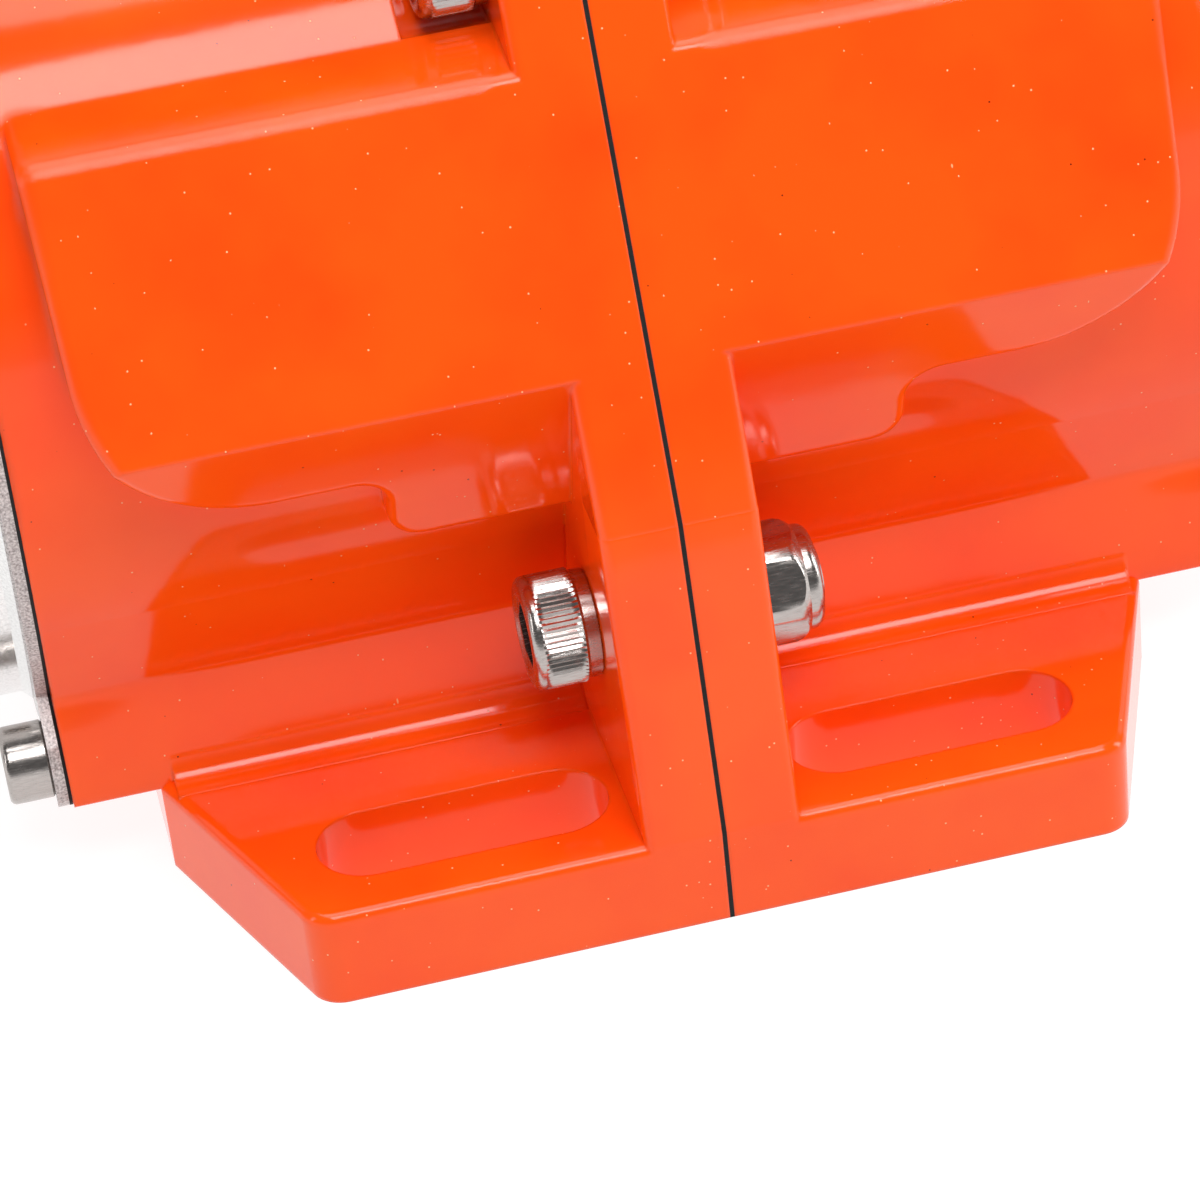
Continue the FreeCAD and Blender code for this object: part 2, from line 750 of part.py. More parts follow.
def cap_screw(number, across, up):
    """A socket head cap screw with its head on the left flange."""
    name = f"flange_bolt_{number}"
    body = new_body(name, up)
    bind(body, "Placement.Base.y", across)
    section = sketch_on(body, "XZ_Plane", name + "_section")
    head_face = "-(flange_face + bolt_head_height)"
    collar = "-(flange_face + bolt_collar_height)"
    outline(section, [
        (head_face, "0"),
        (head_face, "bolt_head_radius - bolt_head_chamfer"),
        (f"{head_face} + bolt_head_chamfer", "bolt_head_radius"),
        (collar, "bolt_head_radius"),
        (collar, "bolt_collar_radius"),
        ("-flange_face", "bolt_collar_radius"),
        ("-flange_face", "bolt_radius"),
        ("bolt_length - flange_face", "bolt_radius"),
        ("bolt_length - flange_face", "0"),
    ])
    spin(body, "Revolution", section)
    socket = sketch_on(body, "YZ_Plane", name + "_socket", head_face)
    hexagon(socket, "bolt_socket_flats")
    extrude(body, "Pocket", socket, "bolt_socket_depth", True)
    return body


def lock_nut(number, across, up):
    """A hexagon nut with a domed collar, grooved inside for its nylon ring."""
    name = f"lock_nut_{number}"
    body = new_body(name, up)
    bind(body, "Placement.Base.y", across)
    faces = sketch_on(body, "YZ_Plane", name + "_hexagon", "flange_face")
    hexagon(faces, "nut_flats")
    extrude(body, "Pad", faces, "nut_hex_height")
    collar = sketch_on(body, "XZ_Plane", name + "_collar")
    outer = "flange_face + nut_height"
    outline(collar, [
        ("flange_face", "0"),
        (outer, "0"),
        (outer, "nut_collar_radius - nut_dome"),
        (f"{outer} - nut_dome", "nut_collar_radius"),
        ("flange_face", "nut_collar_radius"),
    ])
    spin(body, "Revolution", collar)
    bore = sketch_on(body, "XZ_Plane", name + "_bore")
    groove_start = "(flange_face + nut_height - nut_insert_lip - nut_insert_height)"
    outline(bore, [
        ("flange_face - cut_margin", "0"),
        (f"{outer} + cut_margin", "0"),
        (f"{outer} + cut_margin", "bolt_radius + thread_clearance"),
        (f"{groove_start} + nut_insert_height", "bolt_radius + thread_clearance"),
        (f"{groove_start} + nut_insert_height", "nut_insert_radius"),
        (groove_start, "nut_insert_radius"),
        (groove_start, "bolt_radius + thread_clearance"),
        ("flange_face - cut_margin", "bolt_radius + thread_clearance"),
    ])
    spin(body, "Groove", bore)
    return body


def nut_insert(number, across, up):
    start = "flange_face + nut_height - nut_insert_lip - nut_insert_height"
    body = turned(f"nut_insert_{number}", ring_section(
        start, f"{start} + nut_insert_height", "bolt_radius + thread_clearance",
        "nut_insert_radius - press_clearance"), up)
    bind(body, "Placement.Base.y", across)
    return body


def cover_seal(side):
    name = SIDE_NAMES[side] + "_cover_seal"
    body = turned(name, ring_section(
        f"{side} * casing_end", f"{side} * (casing_end + seal_thickness)",
        "chamber_radius + cover_sheet", "barrel_radius"))
    lobes(body, name, "casing_end", "seal_thickness", side, "0")
    lobe_holes(body, name, "casing_end + seal_thickness", "seal_thickness", side,
               "cover_screw_radius + bolt_hole_clearance", "0")
    return body


def end_cover(side):
    """A pressed sheet cup with a narrow rim and four screw lobes."""
    name = SIDE_NAMES[side] + "_end_cover"
    rim = "(casing_end + seal_thickness)"
    rim_top = f"({rim} + cover_sheet)"
    end = f"({rim_top} + cup_depth)"
    inner = "cup_radius - cover_sheet"
    inner_corner = "(cup_corner + cover_sheet * (sqrt(2) - 1))"
    body = turned(name, sided(side, [
        (rim, "barrel_radius"),
        (rim_top, "barrel_radius"),
        (rim_top, "cup_radius + cup_bend"),
        (f"{rim_top} + cup_bend", "cup_radius"),
        (f"{end} - cup_corner", "cup_radius"),
        (end, "cup_radius - cup_corner"),
        (end, "0"),
        (f"{end} - cover_sheet", "0"),
        (f"{end} - cover_sheet", f"cup_radius - {inner_corner}"),
        (f"{end} - {inner_corner}", inner),
        (rim, inner),
    ]))
    lobes(body, name, "casing_end + seal_thickness", "cover_sheet", side, "0")
    lobe_holes(body, name, rim_top, "cover_sheet", side,
               "cover_screw_radius + bolt_hole_clearance", "0")
    return body


def cover_screws(side):
    """Four screws with plain round heads over the cover's lobes."""
    name = SIDE_NAMES[side]
    start = "(casing_end + seal_thickness + cover_sheet)"
    screws = []
    for number, (out_y, out_z, pitch) in enumerate(lobe_places(), start=1):
        body = turned(f"{name}_cover_screw_{number}", [
            (f"{side} * ({start} - cover_screw_length)", "0"),
            (f"{side} * ({start} - cover_screw_length)", "cover_screw_radius"),
            (f"{side} * {start}", "cover_screw_radius"),
            (f"{side} * {start}", "cover_head_radius"),
            (f"{side} * ({start} + cover_head_height - cover_head_chamfer)", "cover_head_radius"),
            (f"{side} * ({start} + cover_head_height)", "cover_head_radius - cover_head_chamfer"),
            (f"{side} * ({start} + cover_head_height)", "0"),
        ], f"shaft_height + {pitch} * {out_z}")
        bind(body, "Placement.Base.y", f"{pitch} * {out_y}")
        screws.append(body)
    return group(name + "_cover_screws", screws)


# ---- stator and rotor --------------------------------------------------------------------------

def slot_shape(body, name, inner, outer, breadth):
    """One radial slot or bar above the shaft, the full length of the stack."""
    sketch = sketch_on(body, "YZ_Plane", name, "-stack_half")
    outline(sketch, [
        (f"-({breadth}) / 2", inner),
        (f"({breadth}) / 2", inner),
        (f"({breadth}) / 2", outer),
        (f"-({breadth}) / 2", outer),
    ])
    return sketch


def stator_core():
    body = turned("stator_core", ring_section(
        "-stack_half", "stack_half", "stator_inner", "stator_bore - press_clearance"))
    sketch = slot_shape(body, "stator_slot", "slot_mouth", "slot_floor", "slot_breadth")
    slot = extrude(body, "Pocket", sketch, "2 * stack_half", True)
    repeat_round(body, slot, STATOR_SLOTS)
    return body


def stator_winding():
    """Coil sides in the slots, joined by the end turns."""
    body = new_body("stator_winding", "shaft_height")
    sketch = slot_shape(body, "coil_side", "slot_mouth + winding_clearance",
                        "slot_floor - winding_clearance", "slot_breadth - 2 * winding_clearance")
    turns = sketch_on(body, "XZ_Plane", "end_turns_section")
    gap_start = "(stack_half + 2 * winding_clearance)"
    outline(turns, ring_section(gap_start, "winding_end", "slot_mouth - winding_clearance",
                                "winding_outer"))
    spin(body, "Revolution", turns)
    bind(sketch, "AttachmentOffset.Base.z", "-winding_end + coil_bury")
    coil = extrude(body, "Pad", sketch, "2 * (winding_end - coil_bury)")
    repeat_round(body, coil, STATOR_SLOTS)
    far_turns = sketch_on(body, "XZ_Plane", "far_end_turns_section")
    outline(far_turns, ring_section("-winding_end", f"-{gap_start}",
                                    "slot_mouth - winding_clearance", "winding_outer"))
    spin(body, "Revolution", far_turns)
    return body


def rotor_core():
    outer = "stator_inner - air_gap"
    body = turned("rotor_core", ring_section(
        "-stack_half", "stack_half", "shaft_core_radius + press_clearance", outer))
    sketch = slot_shape(body, "rotor_slot", f"{outer} - rotor_bar_cover - rotor_bar_depth",
                        f"{outer} - rotor_bar_cover", "rotor_bar_breadth")
    slot = extrude(body, "Pocket", sketch, "2 * stack_half", True)
    repeat_round(body, slot, ROTOR_BARS)
    return body


def rotor_cage():
    """Cast bars and their two end rings."""
    body = new_body("rotor_cage", "shaft_height")
    ring_outer = "stator_inner - air_gap"
    bar_outer = f"{ring_outer} - rotor_bar_cover"
    near = sketch_on(body, "XZ_Plane", "end_ring_section")
    outline(near, ring_section("stack_half", "stack_half + end_ring_length",
                               "end_ring_inner", ring_outer))
    spin(body, "Revolution", near)
    sketch = slot_shape(body, "rotor_bar", f"{bar_outer} - rotor_bar_depth",
                        bar_outer, "rotor_bar_breadth")
    bar = extrude(body, "Pad", sketch, "2 * stack_half")
    repeat_round(body, bar, ROTOR_BARS)
    far = sketch_on(body, "XZ_Plane", "far_end_ring_section")
    outline(far, ring_section("-stack_half - end_ring_length", "-stack_half",
                              "end_ring_inner", ring_outer))
    spin(body, "Revolution", far)
    return body


def shaft():
    """A stepped shaft, the same both ways from its middle."""
    half = [
        ("bearing_wall_x", "shaft_core_radius"),
        ("bearing_wall_x", "journal_radius"),
        ("weight_start_x - journal_step", "journal_radius"),
        ("weight_start_x - journal_step", "weight_journal_radius"),
        ("weight_end", "weight_journal_radius"),
        ("weight_end", "circlip_groove"),
        ("weight_end + circlip_thickness", "circlip_groove"),
        ("weight_end + circlip_thickness", "weight_journal_radius"),
        ("shaft_tip - shaft_tip_chamfer", "weight_journal_radius"),
        ("shaft_tip", "weight_journal_radius - shaft_tip_chamfer"),
        ("shaft_tip", "0"),
    ]
    steps = half + [(f"-({x})", radius) for x, radius in reversed(half)]
    body = turned("shaft", steps)
    for side in (LEFT, RIGHT):
        keyway = sketch_on(body, "YZ_Plane", SIDE_NAMES[side] + "_keyway",
                           f"{side} * weight_start_x")
        outline(keyway, [
            ("-key_width / 2", "key_floor"),
            ("key_width / 2", "key_floor"),
            ("key_width / 2", "key_top"),
            ("-key_width / 2", "key_top"),
        ])
        extrude(body, "Pocket", keyway, "weight_width", side == RIGHT)
    return body


# ---- bearings ----------------------------------------------------------------------------------

BEARING_START = "bearing_wall_x"
BEARING_END = "(bearing_wall_x + bearing_width)"
BEARING_MIDDLE = "(bearing_wall_x + bearing_width / 2)"


def outer_ring(side):
    return turned(SIDE_NAMES[side] + "_outer_ring", sided(side, [
        (BEARING_START, "bearing_outer"),
        (BEARING_END, "bearing_outer"),
        (BEARING_END, "race_rib_outer"),
        (f"{BEARING_END} - race_rib_width", "race_rib_outer"),
        (f"{BEARING_END} - race_rib_width", "race_outer"),
        (f"{BEARING_START} + race_rib_width", "race_outer"),
        (f"{BEARING_START} + race_rib_width", "race_rib_outer"),
        (BEARING_START, "race_rib_outer"),
    ]))


def inner_ring(side):
    return turned(SIDE_NAMES[side] + "_inner_ring", sided(side, [
        (BEARING_START, "journal_radius + press_clearance"),
        (BEARING_END, "journal_radius + press_clearance"),
        (BEARING_END, "race_rib_inner"),
        (f"{BEARING_END} - race_rib_width", "race_rib_inner"),
        (f"{BEARING_END} - race_rib_width", "race_inner"),
        (BEARING_START, "race_inner"),
    ]))


ROLLER_PITCH = "(race_outer + race_inner) / 2"


def rollers(side):
    name = SIDE_NAMES[side] + "_rollers"
    ring = []
    for number in range(ROLLERS):
        roller = doc.addObject("Part::Cylinder", f"{name}_{number + 1}")
        bind(roller, "Radius", "roller_radius")
        bind(roller, "Height", "roller_length")
        angle = f"({FULL_TURN} * {number} / {ROLLERS})"
        roller.Placement.Rotation = FreeCAD.Rotation(Vector(0, 1, 0), 90)
        bind(roller, "Placement.Base.x", f"{side} * {BEARING_MIDDLE} - roller_length / 2")
        bind(roller, "Placement.Base.y", f"{ROLLER_PITCH} * sin({angle})")
        bind(roller, "Placement.Base.z", f"shaft_height + {ROLLER_PITCH} * cos({angle})")
        ring.append(roller)
    return group(name, ring)


def roller_cage(side):
    name = SIDE_NAMES[side] + "_roller_cage"
    half = "roller_cage_width / 2"
    body = turned(name, sided(side, ring_section(
        f"{BEARING_MIDDLE} - {half}", f"{BEARING_MIDDLE} + {half}",
        "roller_cage_inner", "roller_cage_outer")))
    sketch = sketch_on(body, "YZ_Plane", name + "_pocket",
                       f"{side} * {BEARING_MIDDLE} - roller_length / 2 - roller_play")
    circle(sketch, "0", ROLLER_PITCH, "roller_radius + roller_play")
    pocket = extrude(body, "Pocket", sketch, "roller_length + 2 * roller_play", True)
    repeat_round(body, pocket, ROLLERS)
    return body


def preload_washer():
    """A flat spring washer that presses the right outer ring home."""
    return turned("preload_washer", ring_section(
        BEARING_END, f"{BEARING_END} + preload_thickness", "preload_inner",
        "bearing_outer - preload_play"))


# ---- eccentric weights -------------------------------------------------------------------------

def weight(side, label, start, keyed):
    """A hanging sector on a clamped hub."""
    name = f"{SIDE_NAMES[side]}_{label}"
    body = new_body(name, "shaft_height")
    reverse = side == LEFT
    sector = sketch_on(body, "YZ_Plane", name + "_sector", f"{side} * ({start})")
    edge_y = "weight_radius * cos(weight_edge_angle)"
    edge_z = "-weight_radius * sin(weight_edge_angle)"
    outline(sector, [
        ("0", "0"),
        (f"-{edge_y}", edge_z, "weight_radius", 1),
        (edge_y, edge_z),
    ])
    extrude(body, "Pad", sector, "weight_width", reverse)
    hub = sketch_on(body, "YZ_Plane", name + "_hub", f"{side} * ({start})")
    circle(hub, "0", "0", "weight_hub_radius")
    extrude(body, "Pad", hub, "weight_width", reverse)
    bore = sketch_on(body, "YZ_Plane", name + "_bore", f"{side} * ({start})")
    circle(bore, "0", "0", "weight_journal_radius + weight_bore_clearance")
    extrude(body, "Pocket", bore, "weight_width", not reverse)
    if keyed:
        keyway = sketch_on(body, "YZ_Plane", name + "_keyway", f"{side} * ({start})")
        outline(keyway, [
            ("-key_width / 2", "0"),
            ("key_width / 2", "0"),
            ("key_width / 2", "key_top + weight_bore_clearance"),
            ("-key_width / 2", "key_top + weight_bore_clearance"),
        ])
        extrude(body, "Pocket", keyway, "weight_width", not reverse)
    tapped = sketch_on(body, "XY_Plane", name + "_screw_hole", "key_floor")
    circle(tapped, f"{side} * ({start} + weight_width / 2)", "0",
           "weight_screw_radius + thread_clearance")
    extrude(body, "Pocket", tapped, "weight_hub_radius", True)
    return body


def weight_screw(side, label, start, seat):
    """A grub screw that stands on the shaft or its key."""
    screw = doc.addObject("Part::Cylinder", f"{SIDE_NAMES[side]}_{label}")
    screw.Label = screw.Name
    bind(screw, "Radius", "weight_screw_radius")
    bind(screw, "Height", "weight_screw_length")
    bind(screw, "Placement.Base.x", f"{side} * ({start} + weight_width / 2)")
    bind(screw, "Placement.Base.z", f"shaft_height + {seat}")
    return screw


def weight_key(side):
    key = doc.addObject("Part::Box", SIDE_NAMES[side] + "_weight_key")
    key.Label = key.Name
    bind(key, "Length", "weight_width")
    bind(key, "Width", "key_width")
    bind(key, "Height", "key_top - key_floor")
    start = "weight_start_x" if side == RIGHT else "-weight_start_x - weight_width"
    bind(key, "Placement.Base.x", start)
    bind(key, "Placement.Base.y", "-key_width / 2")
    bind(key, "Placement.Base.z", "shaft_height + key_floor")
    return key


def circlip(side):
    name = SIDE_NAMES[side] + "_circlip"
    body = turned(name, sided(side, ring_section(
        "weight_end", "weight_end + circlip_thickness",
        "circlip_groove + press_clearance", "circlip_outer")))
    gap = sketch_on(body, "YZ_Plane", name + "_gap", f"{side} * weight_end")
    outline(gap, [
        ("-circlip_gap / 2", "0"),
        ("circlip_gap / 2", "0"),
        ("circlip_gap / 2", "circlip_outer + cut_margin"),
        ("-circlip_gap / 2", "circlip_outer + cut_margin"),
    ])
    extrude(body, "Pocket", gap, "circlip_thickness", side == RIGHT)
    return body


# ---- cable gland -------------------------------------------------------------------------------

def aim_from_pad(item, depth="0"):
    """Stand a piece made along Z square on the back pad's leaning face, sunk by a depth."""
    item.Placement.Rotation = FreeCAD.Rotation(Vector(-1, 0, 0), 1)
    bind(item, "Placement.Rotation.Angle", f"90 - {GLAND_TILT}")
    bind(item, "Placement.Base.x", "gland_x")
    bind(item, "Placement.Base.y",
         f"{leaning_face('gland_z')} - {depth} * cos({GLAND_TILT})")
    bind(item, "Placement.Base.z", f"gland_z - {depth} * sin({GLAND_TILT})")


def upright(label, steps):
    """A round piece about its own Z axis, from its half section in radius and height."""
    body = doc.addObject("PartDesign::Body", label)
    body.Label = label
    sketch = sketch_on(body, "XZ_Plane", label + "_section")
    outline(sketch, steps)
    spin(body, "Revolution", sketch, "V_Axis")
    return body


def gland_body():
    body = upright("gland_body", [
        ("gland_bore_radius", "-gland_thread_length"),
        ("gland_thread_radius", "-gland_thread_length"),
        ("gland_thread_radius", "gland_base_height / 2"),
        ("gland_neck_radius", "gland_base_height / 2"),
        ("gland_neck_radius", "gland_base_height + gland_neck_height"),
        ("gland_bore_radius", "gland_base_height + gland_neck_height"),
    ])
    faces = sketch_on(body, "XY_Plane", "gland_body_hexagon")
    hexagon(faces, "gland_flats")
    circle(faces, "0", "0", "gland_bore_radius")
    extrude(body, "Pad", faces, "gland_base_height")
    aim_from_pad(body)
    return body


def gland_nut():
    body = doc.addObject("PartDesign::Body", "gland_nut")
    body.Label = "gland_nut"
    faces = sketch_on(body, "XY_Plane", "gland_nut_hexagon", "gland_base_height")
    hexagon(faces, "gland_nut_flats")
    circle(faces, "0", "0", "gland_neck_radius + thread_clearance")
    extrude(body, "Pad", faces, "gland_neck_height")
    dome = sketch_on(body, "XZ_Plane", "gland_nut_dome")
    top = "(gland_base_height + gland_nut_height)"
    outline(dome, [
        ("cable_radius + cable_play", f"{top} - gland_nut_wall"),
        ("gland_neck_radius + thread_clearance", "gland_base_height + gland_neck_height"),
        ("gland_nut_flats / 2", "gland_base_height + gland_neck_height"),
        ("gland_nut_flats / 2 - gland_nut_taper", top),
        ("cable_radius + cable_play", top),
    ])
    spin(body, "Revolution", dome, "V_Axis")
    aim_from_pad(body)
    return body


def gland_seal():
    body = upright("gland_seal", [
        ("cable_radius", "0"),
        ("gland_bore_radius - press_clearance", "0"),
        ("gland_bore_radius - press_clearance", "gland_base_height + gland_neck_height"),
        ("cable_radius", "gland_base_height + gland_neck_height"),
    ])
    aim_from_pad(body)
    return body


def gland_hole():
    tool = doc.addObject("Part::Cylinder", "gland_hole")
    bind(tool, "Radius", "gland_thread_radius + thread_clearance")
    bind(tool, "Height", "gland_hole_depth + gland_base_height")
    aim_from_pad(tool, "gland_hole_depth")
    return tool


# ---- assembly ----------------------------------------------------------------------------------

def housings():
    left = casing_half(LEFT)
    left.Label = "left_housing"
    bored = doc.addObject("Part::Cut", "right_housing")
    bored.Label = "right_housing"
    bored.Base = casing_half(RIGHT)
    bored.Tool = gland_hole()
    return [left, bored]


def flange_fasteners():
    places = list(bolt_places())
    numbered = list(enumerate(places, start=1))
    return [
        group("flange_bolts", [cap_screw(number, *place) for number, place in numbered]),
        group("lock_nuts", [lock_nut(number, *place) for number, place in numbered]),
        group("nut_inserts", [nut_insert(number, *place) for number, place in numbered]),
    ]


def side_pieces(side):
    fixed_start = "weight_start_x"
    loose_start = "weight_start_x + weight_width + weight_gap"
    return [
        cover_seal(side),
        end_cover(side),
        cover_screws(side),
        outer_ring(side),
        inner_ring(side),
        rollers(side),
        roller_cage(side),
        weight(side, "fixed_weight", fixed_start, True),
        weight_screw(side, "fixed_screw", fixed_start, "key_top"),
        weight_key(side),
        weight(side, "adjustable_weight", loose_start, False),
        weight_screw(side, "adjustable_screw", loose_start, "weight_journal_radius"),
        circlip(side),
    ]


pieces = housings()
pieces.append(split_gasket())
pieces += flange_fasteners()
pieces += [stator_core(), stator_winding(), rotor_core(), rotor_cage(), shaft(), preload_washer()]
for motor_side in (LEFT, RIGHT):
    pieces += side_pieces(motor_side)
pieces += [gland_body(), gland_nut(), gland_seal()]

doc.recompute()

for item in doc.Objects:
    if "Invalid" in item.State or "Error" in item.State:
        raise RuntimeError(f"{item.Name} did not build: {item.State}")
for piece in pieces:
    if piece.Shape.isNull() or not piece.Shape.isValid() or not piece.Shape.Solids:
        raise RuntimeError(f"{piece.Label} has no sound solid")

os.makedirs("parts", exist_ok=True)
for piece in pieces:
    piece.Shape.exportStep(f"parts/{piece.Label}.step")
    print(piece.Label, len(piece.Shape.Solids), round(piece.Shape.Volume, 1))
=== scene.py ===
import json
import math

import bmesh
import bpy
from bpy.props import FloatProperty, FloatVectorProperty, IntProperty, PointerProperty
from mathutils import Matrix, Vector


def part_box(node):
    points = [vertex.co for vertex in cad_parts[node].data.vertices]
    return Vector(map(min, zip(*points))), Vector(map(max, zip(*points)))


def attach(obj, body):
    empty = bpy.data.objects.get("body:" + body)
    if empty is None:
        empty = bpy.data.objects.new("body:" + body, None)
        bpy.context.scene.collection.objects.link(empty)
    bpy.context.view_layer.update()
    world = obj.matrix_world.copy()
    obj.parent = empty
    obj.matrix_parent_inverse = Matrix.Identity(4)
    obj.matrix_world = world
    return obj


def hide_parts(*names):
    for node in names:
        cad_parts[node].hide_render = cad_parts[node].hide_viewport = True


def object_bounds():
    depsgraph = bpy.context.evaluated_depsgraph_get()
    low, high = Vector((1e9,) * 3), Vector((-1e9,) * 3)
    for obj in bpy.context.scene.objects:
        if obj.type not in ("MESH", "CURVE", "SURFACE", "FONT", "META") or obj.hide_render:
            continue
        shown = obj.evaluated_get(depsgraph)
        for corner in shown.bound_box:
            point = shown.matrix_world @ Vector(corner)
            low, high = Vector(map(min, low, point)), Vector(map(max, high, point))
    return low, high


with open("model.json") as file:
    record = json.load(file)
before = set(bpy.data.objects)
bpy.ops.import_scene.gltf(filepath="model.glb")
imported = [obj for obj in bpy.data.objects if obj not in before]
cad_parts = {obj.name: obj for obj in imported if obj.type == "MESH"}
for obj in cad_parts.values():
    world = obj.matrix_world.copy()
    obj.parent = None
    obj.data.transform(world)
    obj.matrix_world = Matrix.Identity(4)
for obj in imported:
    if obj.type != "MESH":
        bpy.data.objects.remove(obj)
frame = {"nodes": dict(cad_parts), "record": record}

CAD_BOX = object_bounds()

bl_info = {
    "name": "Vibration motor finish",
    "version": (1, 0, 0),
    "blender": (4, 5, 0),
    "location": "View3D > Sidebar > Motor",
    "description": "Finishes and small fasteners for a die-cast vibration motor",
    "category": "Object",
}

MM = 0.001
NODES = frame["nodes"]
SLOT_OF = {part["node"]: part["material_slot"] for part in frame["record"]["subparts"]}

ENAMEL_IOR = 1.42
PALE_SPECK = "#FFC089"
HAIR_SPECK = "#FFB47C"
DARK_SPECK = "#5A1206"

# where the paint's wider rounds begin and where they are full: heights, and distances from the
# motor's middle along the shaft (across) and square to it (depth)
CREST_HEIGHT = (62 * MM, 65 * MM)
CREST_DEPTH = (34 * MM, 37 * MM)
CREST_ACROSS = (8 * MM, 10 * MM)
PAD_END_HEIGHT = (38 * MM, 44 * MM)
PAD_END_ACROSS = (43 * MM, 47 * MM)
PAD_END_SHARE = 0.5

# the flange's front lies past this depth and within this distance of the split line
FLANGE_FRONT = 50 * MM
FLANGE_HALF = 7.2 * MM

# flange screws
HEAD_LENGTH = 6 * MM
HEAD_SEAT_GAP = 0.05 * MM
FACE_SUNK = 0.25 * MM
FACE_SUNK_RADIUS = 3.3 * MM
FACE_RIM_RADIUS = 3.7 * MM
COLLAR_LENGTH = 1.2 * MM
COLLAR_RADIUS = 4.7 * MM
COLLAR_ROUND = 0.15 * MM
KNURL_ROWS = 12
SOCKET_DEPTH = 3 * MM
THREAD_RADIUS = 3 * MM
THREAD_PITCH = 0.5 * MM
THREAD_DEPTH = 0.25 * MM

# lock nuts
HEXAGON_LENGTH = 4.6 * MM
NUT_BORE = 3.06 * MM
NUT_CORNER_SHARE = 1.085
NUT_COLLAR_RADIUS = 4.62 * MM
NUT_DOME_ROUND = 0.95 * MM
INSERT_RADIUS = 4 * MM
INSERT_START = 1.3 * MM
INSERT_END = 0.3 * MM
INSERT_LIP = 0.35 * MM

# cover screws
COVER_HEAD_LENGTH = 4 * MM
COVER_SHANK_RADIUS = 2 * MM
COVER_HEAD_ROUND = 0.6 * MM
COVER_SEAT_CHAMFER = 0.2 * MM
COVER_DIMPLE_RADIUS = 1.9 * MM
COVER_DIMPLE_FLOOR = 1.7 * MM
COVER_DIMPLE_DEPTH = 0.25 * MM

# how far a cutting piece reaches past the surface that it cuts
OVERSHOOT = 1 * MM

# foot webs: rows of points along the shaft in millimetres from the cover, of which the first five
# bow outwards, and the steps of the outline
WEB_ROWS = (0, 2, 4, 6, 8, 10.5, 13)
SWELL_ROWS = 5
WALL_STEPS = 10
CREASE_STEPS = 5
ROOT_STEPS = 10

# name, setting, share of it, azimuth and elevation in degrees, distance and size in metres
SOFTBOXES = (
    ("key_softbox", "key_radiance", 1, 9.6, 57.5, 1.25, (0.85, 0.37)),
    ("top_softbox", "top_radiance", 1, 0, 93, 1.3, (1.0, 0.8)),
    ("left_softbox", "side_radiance", 4, -78, 22, 1.4, (0.22, 0.8)),
    ("right_softbox", "side_radiance", 6, 80, 22, 1.4, (0.35, 0.9)),
    ("back_softbox", "side_radiance", 1, 180, 48, 1.4, (1.6, 0.6)),
)
LIGHT_AIM_HEIGHT = 45 * MM
# the room's grey level against the sine of the height angle
ROOM_LEVELS = ((0.0, 0.55), (0.10, 0.30), (0.22, 0.13), (0.8, 0.12), (1.0, 0.16))
FLOOR_SIZE = 6
FLOOR_GAP = 0.02 * MM
FLOOR_GLOW = 0.90

# the camera looks at a point this far left of and below the middle of the split line's front
SPLIT_FRONT = (0, -40, 30)
AIM_LEFT = 3.52
AIM_DOWN = 9.35
SENSOR_WIDTH = 36


def linear(hex_colour):
    """The linear colour of an sRGB hex value."""
    levels = [int(hex_colour[i:i + 2], 16) / 255 for i in (1, 3, 5)]
    return tuple(v / 12.92 if v <= 0.04045 else ((v + 0.055) / 1.055) ** 2.4 for v in levels)


# ---- settings ----------------------------------------------------------------------------------

def length_setting(name, description, millimetres):
    return FloatProperty(name=name, description=description, default=millimetres * MM,
                         min=0, unit="LENGTH", precision=5)


def colour_setting(name, description, hex_colour):
    return FloatVectorProperty(name=name, description=description, subtype="COLOR",
                               default=linear(hex_colour), min=0, max=1)


class PaintSettings(bpy.types.PropertyGroup):
    colour: colour_setting("Colour", "The enamel's own orange", "#FF560B")
    thin_colour: colour_setting("Thin colour", "Where the enamel lies thin", "#FC4A08")
    roughness: FloatProperty(name="Roughness", description="Blur of the enamel's gloss",
                             default=0.09, min=0, max=1, subtype="FACTOR")
    peel_size: length_setting("Peel size", "Width of the ripples that spray paint leaves", 2.6)
    edge_round: length_setting("Edge round", "How far paint rounds a cast edge", 0.5)
    knee_height: length_setting("Knee height", "Where the flange's front turns upright", 36.86)
    knee_reach: length_setting("Knee reach", "How far the turn is eased each way", 9)
    knee_turn: FloatProperty(name="Knee turn", description="Angle between the flange's front faces",
                             default=math.radians(12.7), subtype="ANGLE")
    pad_round: length_setting("Pad round", "The wider round of the pads' edges", 2.3)
    dust_spacing: length_setting("Dust spacing", "Distance between specks caught in the paint", 1.15)


class SteelSettings(bpy.types.PropertyGroup):
    bright: colour_setting("Bright steel", "Polished stainless steel", "#B9B2AE")
    sheet: colour_setting("Sheet steel", "Plain rolled sheet", "#EDECEB")
    sheared_end: length_setting("Sheared end", "Where the covers' sheared edge stops", 54.35)
    nylon: colour_setting("Nylon", "The lock nut's insert", "#D4DCEE")
    rubber: colour_setting("Rubber", "Gasket sheet", "#050506")


class FastenerSettings(bpy.types.PropertyGroup):
    knurl_teeth: IntProperty(name="Knurl teeth", description="Ridges round a screw head",
                             default=64, min=12, max=200)
    knurl_depth: length_setting("Knurl depth", "Depth of the straight knurl", 0.16)
    head_round: length_setting("Head round", "Round on the screw head's face", 0.8)
    socket_flats: length_setting("Socket flats", "Width of the hexagon socket", 5)
    nut_flats: length_setting("Nut flats", "Width across the nut", 10)


